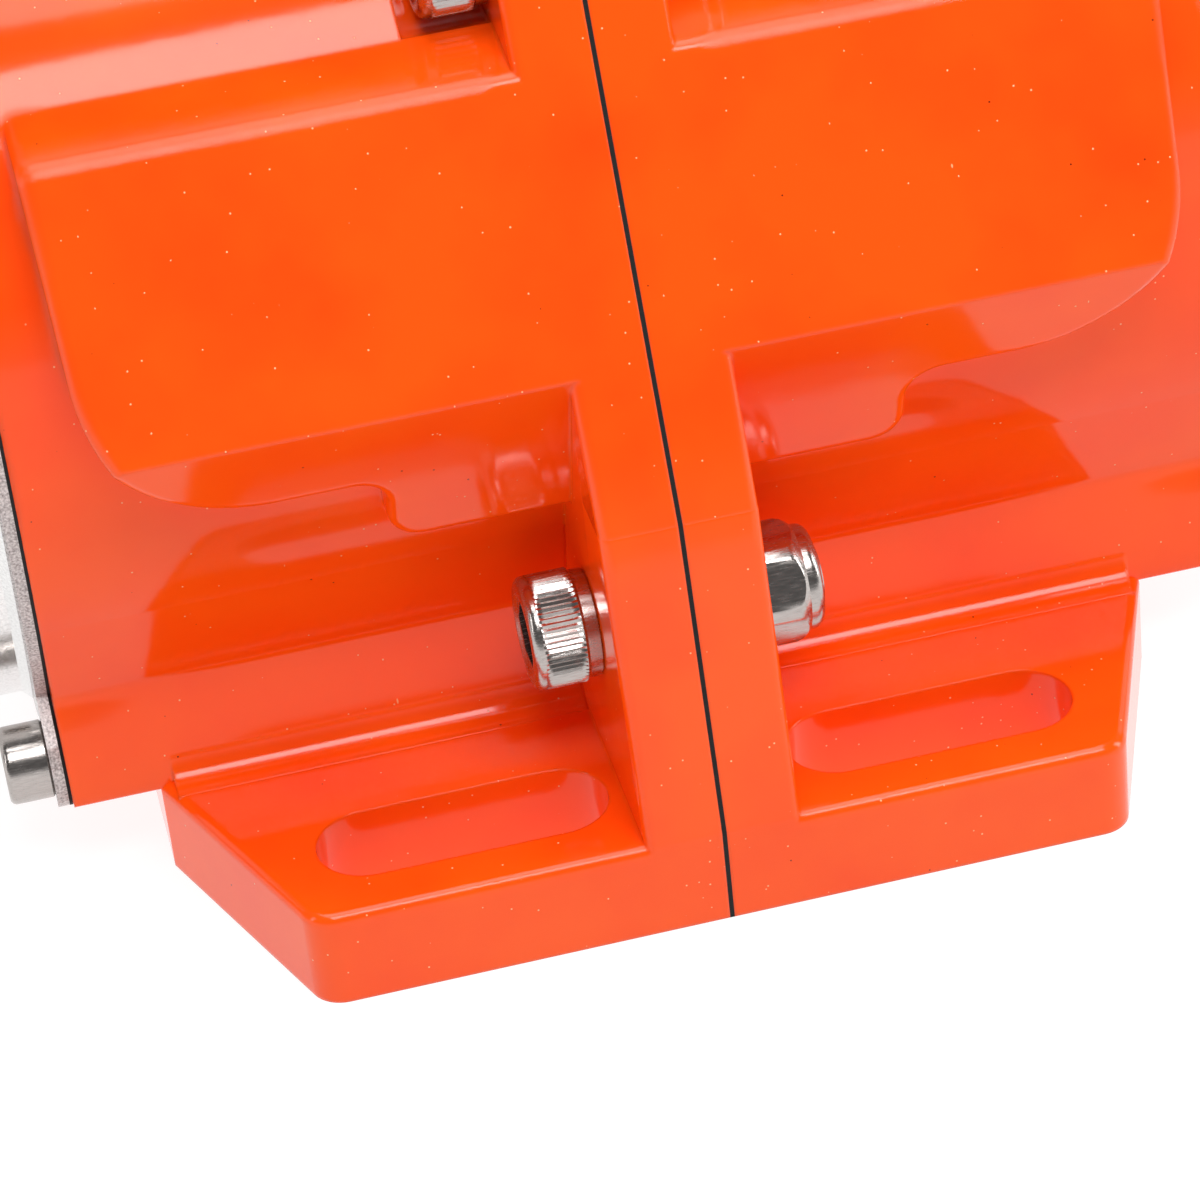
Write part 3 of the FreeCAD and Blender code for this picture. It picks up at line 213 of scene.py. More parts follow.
class WebSettings(bpy.types.PropertyGroup):
    barrel_radius: length_setting("Barrel radius", "The casing's barrel", 43)
    foot_top: length_setting("Foot top", "Height of the feet's upper face", 9.16)
    foot_half: length_setting("Foot half", "Half of the feet's width at the barrel", 43.9)
    root_reach: length_setting("Root reach", "From the shaft's plane to the wall at the foot", 38.75)
    crease_height: length_setting("Crease height", "From the foot up to the crease", 9.61)
    wall_lean: FloatProperty(name="Wall lean", description="How far the wall leans back",
                             default=math.radians(14), subtype="ANGLE")
    crease_round: length_setting("Crease round", "Round in the crease", 1.5)
    root_round: length_setting("Root round", "Round where the wall meets the foot", 3)
    lobe_swell: length_setting("Lobe swell", "Bow of the wall over a screw lobe", 0.32)


class StageSettings(bpy.types.PropertyGroup):
    azimuth: FloatProperty(name="Azimuth", description="Camera angle round the motor",
                           default=math.radians(-9.56), subtype="ANGLE")
    elevation: FloatProperty(name="Elevation", description="Camera angle above the floor",
                             default=math.radians(34.60), subtype="ANGLE")
    roll: FloatProperty(name="Roll", description="Camera turned about its line of sight",
                        default=math.radians(6.45), subtype="ANGLE")
    lens: FloatProperty(name="Lens", description="Focal length on a 36 mm sensor, in millimetres",
                        default=135.73, min=10)
    distance: length_setting("Distance", "Camera to the point that it looks at", 390.73)
    key_radiance: FloatProperty(name="Key light", description="Brightness of the front softbox",
                                default=9.3, min=0)
    top_radiance: FloatProperty(name="Top light", description="Brightness of the overhead softbox",
                                default=4.0, min=0)
    side_radiance: FloatProperty(name="Side light", description="Brightness of the side and back softboxes",
                                 default=1.0, min=0)
    floor_colour: colour_setting("Floor", "The table top's own colour", "#706F6E")


# ---- materials ---------------------------------------------------------------------------------

def add(tree, kind, settings=None, links=None, **values):
    """Add a node, with its settings, its input values and the sockets that feed it."""
    made = tree.nodes.new(kind)
    for name, setting in (settings or {}).items():
        setattr(made, name, setting)
    for name, level in values.items():
        made.inputs[name.replace("_", " ")].default_value = level
    for name, socket in (links or {}).items():
        tree.links.new(socket, made.inputs[name])
    return made


def shader(name, colour, metallic, roughness):
    """A new material with a Principled shader; returns its tree, shader and the place of each point."""
    material = bpy.data.materials.new(name)
    material.use_nodes = True
    tree = material.node_tree
    tree.nodes.clear()
    out = add(tree, "ShaderNodeOutputMaterial")
    coords = add(tree, "ShaderNodeTexCoord")
    skin = add(tree, "ShaderNodeBsdfPrincipled", Base_Color=(*colour, 1), Metallic=metallic,
               Roughness=roughness)
    tree.links.new(skin.outputs["BSDF"], out.inputs["Surface"])
    return material, tree, skin, coords.outputs["Object"]


def maths(tree, operation, first, second=None):
    """One sum on sockets or plain numbers."""
    made = add(tree, "ShaderNodeMath", {"operation": operation})
    for number, source in enumerate((first, second)):
        if isinstance(source, bpy.types.NodeSocket):
            tree.links.new(source, made.inputs[number])
        elif source is not None:
            made.inputs[number].default_value = source
    return made.outputs[0]


def product(tree, first, second):
    """Two levels multiplied: high only where both are high."""
    return maths(tree, "MULTIPLY", first, second)


def ramp(tree, fac, stops):
    """A straight colour ramp from (place, grey level or colour) stops."""
    made = add(tree, "ShaderNodeValToRGB", links={"Fac": fac})
    band = made.color_ramp
    while len(band.elements) < len(stops):
        band.elements.new(0.5)
    for element, (place, level) in zip(band.elements, stops):
        element.position = place
        element.color = (level, level, level, 1) if isinstance(level, (int, float)) else (*level, 1)
    return made.outputs["Color"]


def mixed(tree, fac, first, second):
    """One colour laid over another where fac is high."""
    made = add(tree, "ShaderNodeMix", {"data_type": "RGBA"})
    for number, source in ((0, fac), (6, first), (7, second)):
        socket = made.inputs[number]
        if isinstance(source, bpy.types.NodeSocket):
            tree.links.new(source, socket)
        elif number == 0:
            socket.default_value = source
        else:
            socket.default_value = (*source, 1)
    return made.outputs[2]


def specks(tree, place, spacing, size, share, stretch=(1, 1, 1), turn=(0, 0, 0)):
    """Small spots: one in some of the cells of a scattered pattern."""
    laid = add(tree, "ShaderNodeMapping", links={"Vector": place}, Scale=stretch, Rotation=turn)
    cells = add(tree, "ShaderNodeTexVoronoi", links={"Vector": laid.outputs["Vector"]},
                Scale=1 / spacing)
    spot = ramp(tree, cells.outputs["Distance"],
                ((0.0, 1.0), (size / spacing * 0.6, 1.0), (size / spacing, 0.0)))
    chosen = ramp(tree, cells.outputs["Color"], ((0.0, 0.0), (1 - share, 0.0), (1.01 - share, 1.0)))
    return product(tree, spot, chosen)


def rising(tree, value, low, high):
    """Nought below the low value, one above the high one, smooth in between."""
    made = add(tree, "ShaderNodeMapRange", {"interpolation_type": "SMOOTHSTEP"}, {"Value": value},
               From_Min=low, From_Max=high)
    return made.outputs["Result"]


def flange_knee(tree, height, across, depth, normal, settings):
    """Ease the flange's front from its leaning upper face into its upright lower one."""
    distance = maths(tree, "ABSOLUTE", maths(tree, "SUBTRACT", height, settings.knee_height))
    left = maths(tree, "MAXIMUM", maths(tree, "SUBTRACT", settings.knee_reach, distance), 0)
    curving = -math.tan(settings.knee_turn / 2) / (2 * settings.knee_reach)
    sunk = product(tree, product(tree, left, left), curving)
    front = maths(tree, "GREATER_THAN", depth, FLANGE_FRONT)
    middle = maths(tree, "LESS_THAN", across, FLANGE_HALF)
    there = product(tree, product(tree, sunk, front), middle)
    return add(tree, "ShaderNodeBump", links={"Height": there, "Normal": normal}, Strength=1.0,
               Distance=1.0).outputs["Normal"]


def round_radius(tree, height, across, depth, settings):
    """How far the paint rounds an edge: wider on the pads' crests and at their outer ends."""
    crest = product(tree, product(tree, rising(tree, height, *CREST_HEIGHT),
                                  rising(tree, depth, *CREST_DEPTH)),
                    rising(tree, across, *CREST_ACROSS))
    ends = product(tree, rising(tree, height, *PAD_END_HEIGHT),
                   rising(tree, across, *PAD_END_ACROSS))
    wide = maths(tree, "MAXIMUM", crest, product(tree, ends, PAD_END_SHARE))
    radius = add(tree, "ShaderNodeMapRange", links={"Value": wide}, To_Min=settings.edge_round,
                 To_Max=settings.pad_round)
    return radius.outputs["Result"]


def orange_paint(settings):
    """Gloss enamel on die-cast aluminium: deep orange, rippled, with dust caught in it."""
    material, tree, skin, place = shader("gloss_enamel_orange", settings.colour, 0.0,
                                         settings.roughness)
    skin.inputs["IOR"].default_value = ENAMEL_IOR
    clouds = add(tree, "ShaderNodeTexNoise", links={"Vector": place}, Scale=1 / (14 * MM),
                 Detail=3.0)
    cloudy = ramp(tree, clouds.outputs["Fac"], ((0.40, 0.0), (0.72, 1.0)))
    colour = mixed(tree, cloudy, tuple(settings.colour), tuple(settings.thin_colour))
    pale = specks(tree, place, settings.dust_spacing, 0.10 * MM, 0.40)
    colour = mixed(tree, pale, colour, linear(PALE_SPECK))
    hairs = specks(tree, place, 2.4 * settings.dust_spacing, 0.09 * MM, 0.35,
                   (1.0, 1.0, 0.16), (0.5, 0.9, 0.4))
    colour = mixed(tree, hairs, colour, linear(HAIR_SPECK))
    dark = specks(tree, place, 1.7 * settings.dust_spacing, 0.10 * MM, 0.30, (1, 1, 1),
                  (1.1, 0.3, 0.7))
    colour = mixed(tree, dark, colour, linear(DARK_SPECK))
    tree.links.new(colour, skin.inputs["Base Color"])
    peel = add(tree, "ShaderNodeTexNoise", links={"Vector": place},
               Scale=1 / settings.peel_size, Detail=2.0, Roughness=0.45)
    nibs = maths(tree, "MAXIMUM", pale, hairs)
    parts = add(tree, "ShaderNodeSeparateXYZ", links={"Vector": place})
    height = parts.outputs["Z"]
    across, depth = [maths(tree, "ABSOLUTE", parts.outputs[axis]) for axis in ("X", "Y")]
    rounded_edge = add(tree, "ShaderNodeBevel", {"samples": 8},
                       {"Radius": round_radius(tree, height, across, depth, settings)})
    eased = flange_knee(tree, height, across, depth, rounded_edge.outputs["Normal"], settings)
    rippled = add(tree, "ShaderNodeBump", links={"Height": peel.outputs["Fac"], "Normal": eased},
                  Strength=0.10, Distance=0.10 * MM)
    raised = add(tree, "ShaderNodeBump",
                 links={"Height": nibs, "Normal": rippled.outputs["Normal"]},
                 Strength=0.5, Distance=0.06 * MM)
    tree.links.new(raised.outputs["Normal"], skin.inputs["Normal"])
    return material


def metal(name, colour, roughness, grain, grain_stretch, strength):
    """Bare metal with the fine lines that its making leaves."""
    material, tree, skin, place = shader(name, colour, 1.0, roughness)
    laid = add(tree, "ShaderNodeMapping", links={"Vector": place}, Scale=grain_stretch)
    lines = add(tree, "ShaderNodeTexNoise", links={"Vector": laid.outputs["Vector"]},
                Scale=1 / grain, Detail=4.0)
    rough = ramp(tree, lines.outputs["Fac"],
                 ((0.3, roughness * 0.7), (0.7, min(1.0, roughness * 1.5))))
    tree.links.new(rough, skin.inputs["Roughness"])
    raised = add(tree, "ShaderNodeBump", links={"Height": lines.outputs["Fac"]},
                 Strength=strength, Distance=0.03 * MM)
    tree.links.new(raised.outputs["Normal"], skin.inputs["Normal"])
    tone = mixed(tree, ramp(tree, lines.outputs["Fac"], ((0.35, 0.0), (0.75, 1.0))),
                 tuple(colour), tuple(level * 0.86 for level in colour))
    tree.links.new(tone, skin.inputs["Base Color"])
    return material


def sheet_steel(settings):
    """Rolled steel sheet; its sheared edge beside the casing is grey and grainy."""
    material = metal("rolled_steel_sheet", settings.sheet, 0.16, 0.25 * MM, (1, 1, 1), 0.15)
    tree = material.node_tree
    skin = next(node for node in tree.nodes if node.type == "BSDF_PRINCIPLED")
    place = next(node for node in tree.nodes if node.type == "TEX_COORD").outputs["Object"]
    parts = add(tree, "ShaderNodeSeparateXYZ", links={"Vector": place})
    across = maths(tree, "ABSOLUTE", parts.outputs["X"])
    plain = rising(tree, across, settings.sheared_end, settings.sheared_end + 0.05 * MM)
    grain = add(tree, "ShaderNodeTexNoise", links={"Vector": place}, Scale=1 / (0.22 * MM),
                Detail=3.0)
    grit = ramp(tree, grain.outputs["Fac"], ((0.30, linear("#8A807E")), (0.66, linear("#DAD2D0"))))
    rolled = skin.inputs["Base Color"].links[0].from_socket
    tree.links.new(mixed(tree, plain, grit, rolled), skin.inputs["Base Color"])
    tree.links.new(plain, skin.inputs["Metallic"])
    return material


def moulded(name, colour, roughness, grain, strength):
    """A moulded or cut polymer with a fine matte grain."""
    material, tree, skin, place = shader(name, colour, 0.0, roughness)
    fine = add(tree, "ShaderNodeTexNoise", links={"Vector": place}, Scale=1 / grain, Detail=3.0)
    raised = add(tree, "ShaderNodeBump", links={"Height": fine.outputs["Fac"]},
                 Strength=strength, Distance=0.08 * MM)
    tree.links.new(raised.outputs["Normal"], skin.inputs["Normal"])
    tone = mixed(tree, ramp(tree, fine.outputs["Fac"], ((0.35, 0.0), (0.7, 1.0))),
                 tuple(colour), tuple(min(1, level * 1.25 + 0.004) for level in colour))
    tree.links.new(tone, skin.inputs["Base Color"])
    return material


def laminated(name, colour):
    """Stacked electrical steel: sheets half a millimetre thick, seen on edge."""
    material, tree, skin, place = shader(name, colour, 1.0, 0.4)
    sheets = add(tree, "ShaderNodeTexWave", {"bands_direction": "X"}, {"Vector": place},
                 Scale=1 / (6.3 * MM), Distortion=0.4)
    raised = add(tree, "ShaderNodeBump", links={"Height": sheets.outputs["Fac"]},
                 Strength=0.4, Distance=0.1 * MM)
    tree.links.new(raised.outputs["Normal"], skin.inputs["Normal"])
    return material


def wound(name, colour):
    """Varnished copper wire, 0.6 mm thick, lying round the end turns."""
    material, tree, skin, place = shader(name, colour, 0.7, 0.3)
    wires = add(tree, "ShaderNodeTexWave", {"wave_type": "RINGS", "rings_direction": "X"},
                {"Vector": place}, Scale=1 / (3.8 * MM), Distortion=1.5)
    raised = add(tree, "ShaderNodeBump", links={"Height": wires.outputs["Fac"]},
                 Strength=0.6, Distance=0.2 * MM)
    tree.links.new(raised.outputs["Normal"], skin.inputs["Normal"])
    return material


# slot: name, colour, roughness, size, stretch and strength of the grain
BARE_METALS = {
    "cage_brass": ("machined_brass", "#D9B45F", 0.25, 0.3 * MM, (1, 0.05, 0.05), 0.2),
    "cast_aluminium": ("cast_aluminium", "#C9C9CB", 0.45, 0.4 * MM, (1, 1, 1), 0.5),
    "weight_iron": ("sawn_steel_plate", "#7C7A78", 0.5, 0.3 * MM, (1, 1, 0.1), 0.5),
    "bearing_steel": ("ground_bearing_steel", "#CFCFD2", 0.12, 0.2 * MM, (1, 0.05, 0.05), 0.1),
    "shaft_steel": ("ground_shaft_steel", "#B9B8B6", 0.2, 0.2 * MM, (1, 0.05, 0.05), 0.2),
}


def finish_for(slot, scene):
    """The material of one of the record's slots."""
    steel = scene.motor_steel
    if slot == "orange_paint":
        return orange_paint(scene.motor_paint)
    if slot == "gasket_rubber":
        return moulded("black_gasket_rubber", steel.rubber, 0.85, 0.35 * MM, 0.9)
    if slot == "nylon":
        return moulded("natural_nylon", steel.nylon, 0.35, 0.5 * MM, 0.2)
    if slot == "gland_plastic":
        return moulded("black_polyamide", linear("#141416"), 0.4, 0.4 * MM, 0.3)
    if slot == "stator_steel":
        return laminated("electrical_steel_stack", linear("#8A8A8C"))
    if slot == "winding_copper":
        return wound("varnished_copper_wire", linear("#B8562A"))
    if slot == "cover_steel":
        return sheet_steel(steel)
    if slot in BARE_METALS:
        name, hex_colour, *making = BARE_METALS[slot]
        return metal(name, linear(hex_colour), *making)
    return metal("bright_stainless_steel", steel.bright, 0.2, 0.16 * MM, (0.15, 1, 1), 0.25)


def finish(slot):
    """The material of a slot, made once."""
    key = "finish:" + slot
    scene = bpy.context.scene
    if key not in scene:
        scene[key] = finish_for(slot, scene).name
    return bpy.data.materials[scene[key]]


def dress(piece, slot):
    """Give a piece the finish of a slot, and no other."""
    piece.data.materials.clear()
    piece.data.materials.append(finish(slot))


# ---- mesh helpers ------------------------------------------------------------------------------

def deselect_all():
    bpy.ops.object.select_all(action="DESELECT")


def make_active(piece):
    """Select one piece alone."""
    deselect_all()
    piece.select_set(True)
    bpy.context.view_layer.objects.active = piece


def solid_boxes(node):
    """The lowest and highest corner of each separate solid of a CAD node."""
    mesh = bmesh.new()
    mesh.from_mesh(NODES[node].data)
    bmesh.ops.remove_doubles(mesh, verts=mesh.verts, dist=0.001 * MM)
    left = set(mesh.verts)
    boxes = []
    while left:
        island = [left.pop()]
        for vert in island:
            for edge in vert.link_edges:
                other = edge.other_vert(vert)
                if other in left:
                    left.remove(other)
                    island.append(other)
        low = Vector(min(v.co[i] for v in island) for i in range(3))
        high = Vector(max(v.co[i] for v in island) for i in range(3))
        boxes.append((low, high))
    mesh.free()
    return sorted(boxes, key=lambda box: tuple(round(value, 5) for value in box[0]))


def turned(name, profile, centre, segments=96):
    """A piece turned about a line along X, from a half section of (x, radius) points."""
    mesh = bpy.data.meshes.new(name)
    points = [(x, centre.y, centre.z + radius) for x, radius in profile]
    mesh.from_pydata(points, [(i, i + 1) for i in range(len(points) - 1)], [])
    piece = bpy.data.objects.new(name, mesh)
    bpy.context.scene.collection.objects.link(piece)
    make_active(piece)
    bpy.ops.object.mode_set(mode="EDIT")
    bpy.ops.mesh.select_all(action="SELECT")
    bpy.ops.mesh.spin(steps=segments, angle=2 * math.pi, center=centre, axis=(1, 0, 0))
    bpy.ops.mesh.select_all(action="SELECT")
    bpy.ops.mesh.remove_doubles(threshold=0.002 * MM)
    bpy.ops.mesh.normals_make_consistent(inside=False)
    bpy.ops.object.mode_set(mode="OBJECT")
    return piece


def hexagon_bar(name, start, length, flats, centre):
    """A hexagonal bar along X with two of its flats level."""
    deselect_all()
    middle = (start + length / 2, centre.y, centre.z)
    bpy.ops.mesh.primitive_cylinder_add(vertices=6, radius=flats / 2 / math.cos(math.pi / 6),
                                        depth=length, location=middle,
                                        rotation=(0, math.pi / 2, 0))
    bar = bpy.context.active_object
    bar.name = name
    bpy.ops.object.transform_apply(location=True, rotation=True, scale=True)
    return bar


def combine(piece, tool, operation):
    """Cut, join or keep the shared part of two pieces, and drop the tool."""
    make_active(piece)
    step = piece.modifiers.new(operation, "BOOLEAN")
    step.operation = operation
    step.object = tool
    step.solver = "EXACT"
    bpy.ops.object.modifier_apply(modifier=step.name)
    bpy.data.objects.remove(tool)


def smooth(piece, degrees):
    """Smooth shading, with edges sharper than an angle kept."""
    make_active(piece)
    bpy.ops.object.shade_smooth_by_angle(angle=math.radians(degrees))


def joined(name, pieces):
    """Several pieces of one kind as one object with one mesh."""
    make_active(pieces[0])
    for piece in pieces[1:]:
        piece.select_set(True)
    bpy.ops.object.join()
    bpy.context.view_layer.objects.active.name = name
    return bpy.context.view_layer.objects.active


def in_every_box(piece, boxes):
    """The piece that was made in the first box, and a copy of it in each of the others."""
    middles = [(low + high) / 2 for low, high in boxes]
    pieces = [piece]
    for middle in middles[1:]:
        copy = bpy.data.objects.new(piece.name, piece.data.copy())
        bpy.context.scene.collection.objects.link(copy)
        copy.data.transform(Matrix.Translation(middle - middles[0]))
        pieces.append(copy)
    return pieces


def quarter_round(x_flat, x_side, r_top, r_side, steps=6):
    """Points of a round from a flat face at r_top to a side at r_side."""
    points = []
    for step in range(steps + 1):
        turn = math.pi / 2 * step / steps
        points.append((x_side + (x_flat - x_side) * math.cos(turn),
                       r_top + (r_side - r_top) * math.sin(turn)))
    return points


# ---- pieces ------------------------------------------------------------------------------------

class MOTOR_OT_casing(bpy.types.Operator):
    """Finish the casing halves and every inner part that keeps its CAD shape"""
    bl_idname = "motor.casing"
    bl_label = "Finish casing and inner parts"

    def execute(self, context):
        for name, node in NODES.items():
            dress(node, SLOT_OF[name])
        return {"FINISHED"}


class MOTOR_OT_foot_webs(bpy.types.Operator):
    """Cast walls that run from the barrel down to the feet over the lower screw lobes"""
    bl_idname = "motor.foot_webs"
    bl_label = "Foot webs"

    def execute(self, context):
        settings = context.scene.motor_webs
        shaft_z = (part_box("shaft")[0].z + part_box("shaft")[1].z) / 2
        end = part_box("left_housing")[0].x + 0.03 * MM
        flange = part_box("flange_bolts")[0].x + HEAD_LENGTH + HEAD_SEAT_GAP
        foot = settings.foot_top
        up_wall = Vector((math.tan(settings.wall_lean), 1))
        root = Vector((-settings.root_reach, foot))
        crease = root + up_wall * settings.crease_height
        wall, top, low = web_outline(settings, shaft_z, root, crease, up_wall)
        web = prism("foot_web", wall, [end + row * MM for row in WEB_ROWS] + [flange])
        swell(web, end, top, low, settings.lobe_swell)
        toe = root + Vector((-8 * MM, 0))
        fillet = rounded(root + up_wall * 6 * MM, root, toe, settings.root_round, ROOT_STEPS)
        fillet += [Vector((fillet[-1].x, foot - 0.5 * MM)), root + Vector((2, -0.5)) * MM,
                   fillet[0] + Vector((1.5, 0)) * MM]
        bead = prism("root_bead", fillet, [-settings.foot_half, flange])
        piece = joined("foot_webs", [web, bead])
        mirror = piece.modifiers.new("other_sides", "MIRROR")
        mirror.use_axis = (True, True, False)
        mirror.use_mirror_merge = False
        make_active(piece)
        bpy.ops.object.modifier_apply(modifier=mirror.name)
        smooth(piece, 40)
        dress(piece, "orange_paint")
        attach(piece, "casing")
        return {"FINISHED"}


def web_outline(settings, shaft_z, root, crease, up_wall):
    """The web's section, with the wall's upper and lower end: down from the barrel, into the foot
    and back inside the casting."""
    barrel = settings.barrel_radius
    reach = math.hypot(crease.x, crease.y - shaft_z)
    touch = math.atan2(shaft_z - crease.y, -crease.x) - math.acos(barrel / reach)
    # the web starts a hair inside the barrel, so the two surfaces cross on a clean line
    turn, radius = touch - 0.03, barrel - 0.04 * MM
    start = Vector((-math.cos(turn), -math.sin(turn))) * radius
    start.y += shaft_z
    outline = [start] + rounded(start, crease, root, settings.crease_round, CREASE_STEPS)
    top, low = outline[-1], root + up_wall * 0.2 * MM
    outline += [top.lerp(low, step / WALL_STEPS) for step in range(1, WALL_STEPS + 1)]
    outline += [low + Vector((0.15, -0.75)) * MM, low + Vector((1.3, -1.65)) * MM,
                low + Vector((5, -0.3)) * MM, Vector((-33.2 * MM, 22 * MM))]
    return outline, top, low


def rounded(before, corner, after, radius, steps):
    """Points of an arc that rounds the corner between two straight runs."""
    back, on = (before - corner).normalized(), (after - corner).normalized()
    half = back.angle(on) / 2
    centre = corner + (back + on).normalized() * radius / math.sin(half)
    first = corner + back * radius / math.tan(half) - centre
    turn = first.angle_signed(corner + on * radius / math.tan(half) - centre)
    return [centre + Matrix.Rotation(-turn * step / steps, 2) @ first for step in range(steps + 1)]


def prism(name, outline, stations):
    """A closed outline in the YZ plane, drawn out along X through every station."""
    mesh = bpy.data.meshes.new(name)
    mesh.from_pydata([(stations[0], point.x, point.y) for point in outline], [],
                     [tuple(range(len(outline)))])
    piece = bpy.data.objects.new(name, mesh)
    bpy.context.scene.collection.objects.link(piece)
    make_active(piece)
    bpy.ops.object.mode_set(mode="EDIT")
    bpy.ops.mesh.select_all(action="SELECT")
    for here, there in zip(stations, stations[1:]):
        bpy.ops.mesh.extrude_region_move(TRANSFORM_OT_translate={"value": (there - here, 0, 0)})
    bpy.ops.mesh.select_all(action="SELECT")
    bpy.ops.mesh.normals_make_consistent(inside=False)
    bpy.ops.object.mode_set(mode="OBJECT")
    return piece


def swell(web, end, top, low, height):
    """Bow the wall outwards over the screw lobe; the bow fades out away from the cover."""
    make_active(web)
    bpy.ops.object.mode_set(mode="EDIT")
    bpy.ops.mesh.select_mode(type="VERT")
    run = low - top
    outward = Vector((run.y, -run.x)).normalized()
    for column in range(1, WALL_STEPS):
        share = column / WALL_STEPS
        spot = top.lerp(low, share)
        for row in range(SWELL_ROWS):
            station = end + WEB_ROWS[row] * MM
            bpy.ops.mesh.select_all(action="DESELECT")
            mesh = bmesh.from_edit_mesh(web.data)
            for vert in mesh.verts:
                near = abs(vert.co.y - spot.x) + abs(vert.co.z - spot.y) < 0.02 * MM
                vert.select = near and abs(vert.co.x - station) < 0.1 * MM
            mesh.select_flush_mode()
            bmesh.update_edit_mesh(web.data)
            fade = math.cos(row * math.pi / (2 * SWELL_ROWS))
            push = outward * height * 4 * share * (1 - share) * fade
            bpy.ops.transform.translate(value=(0, push.x, push.y))
    bpy.ops.object.mode_set(mode="OBJECT")


class MOTOR_OT_flange_screws(bpy.types.Operator):
    """Socket cap screws with knurled heads through the flange"""
    bl_idname = "motor.flange_screws"
    bl_label = "Flange screws"

    def execute(self, context):
        settings = context.scene.motor_fasteners
        boxes = solid_boxes("flange_bolts")
        low, high = boxes[0]
        centre = (low + high) / 2
        head_r = (high.z - low.z) / 2
        face = low.x
        head_end = face + HEAD_LENGTH
        collar = head_end - COLLAR_LENGTH
        round_size = settings.head_round
        profile = [(face + FACE_SUNK, 0), (face + FACE_SUNK, FACE_SUNK_RADIUS),
                   (face, FACE_RIM_RADIUS)]
        profile += quarter_round(face, face + round_size, head_r - round_size, head_r)
        knurl_start, knurl_end = face + round_size + 0.1 * MM, collar - 0.25 * MM
        profile += [(knurl_start + (knurl_end - knurl_start) * row / KNURL_ROWS, head_r)
                    for row in range(KNURL_ROWS + 1)]
        profile += [(collar, COLLAR_RADIUS + 0.06 * MM), (head_end - COLLAR_ROUND, COLLAR_RADIUS),
                    (head_end, COLLAR_RADIUS - COLLAR_ROUND), (head_end, THREAD_RADIUS)]
        turns = int((high.x - head_end) / THREAD_PITCH)
        for turn in range(turns):
            x = head_end + (turn + 0.5) * (high.x - head_end) / turns
            profile += [(x, THREAD_RADIUS), (x + THREAD_DEPTH, THREAD_RADIUS - THREAD_DEPTH)]
        profile += [(high.x, THREAD_RADIUS - 0.4 * MM), (high.x, 0)]
        screw = turned("flange_screw", profile, centre, 2 * settings.knurl_teeth)
        knurl(screw, centre, knurl_start, knurl_end, head_r, settings)
        socket = hexagon_bar("socket", face - OVERSHOOT, SOCKET_DEPTH + OVERSHOOT,
                             settings.socket_flats, centre)
        combine(screw, socket, "DIFFERENCE")
        smooth(screw, 28)
        screws = in_every_box(screw, boxes)
        piece = joined("flange_screws_knurled", screws)
        dress(piece, "stainless_bolt")
        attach(piece, "casing")
        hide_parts("flange_bolts")
        return {"FINISHED"}


def knurl(screw, centre, start, end, head_r, settings):
    """Press every second line of points on the head inwards to leave straight ridges."""
    make_active(screw)
    bpy.ops.object.mode_set(mode="EDIT")
    bpy.ops.mesh.select_mode(type="VERT")
    bpy.ops.mesh.select_all(action="DESELECT")
    mesh = bmesh.from_edit_mesh(screw.data)
    step = 2 * math.pi / (2 * settings.knurl_teeth)
    for vert in mesh.verts:
        turn = math.atan2(vert.co.y - centre.y, vert.co.z - centre.z) % (2 * math.pi)
        on_valley = round(turn / step) % 2 == 1
        reach = math.hypot(vert.co.y - centre.y, vert.co.z - centre.z)
        inside = start + 0.01 * MM < vert.co.x < end - 0.01 * MM
        vert.select = on_valley and inside and reach > head_r - 0.01 * MM
    mesh.select_flush_mode()
    bmesh.update_edit_mesh(screw.data)
    share = 1 - settings.knurl_depth / head_r
    bpy.ops.transform.resize(value=(1, share, share), center_override=centre)
    bpy.ops.object.mode_set(mode="OBJECT")


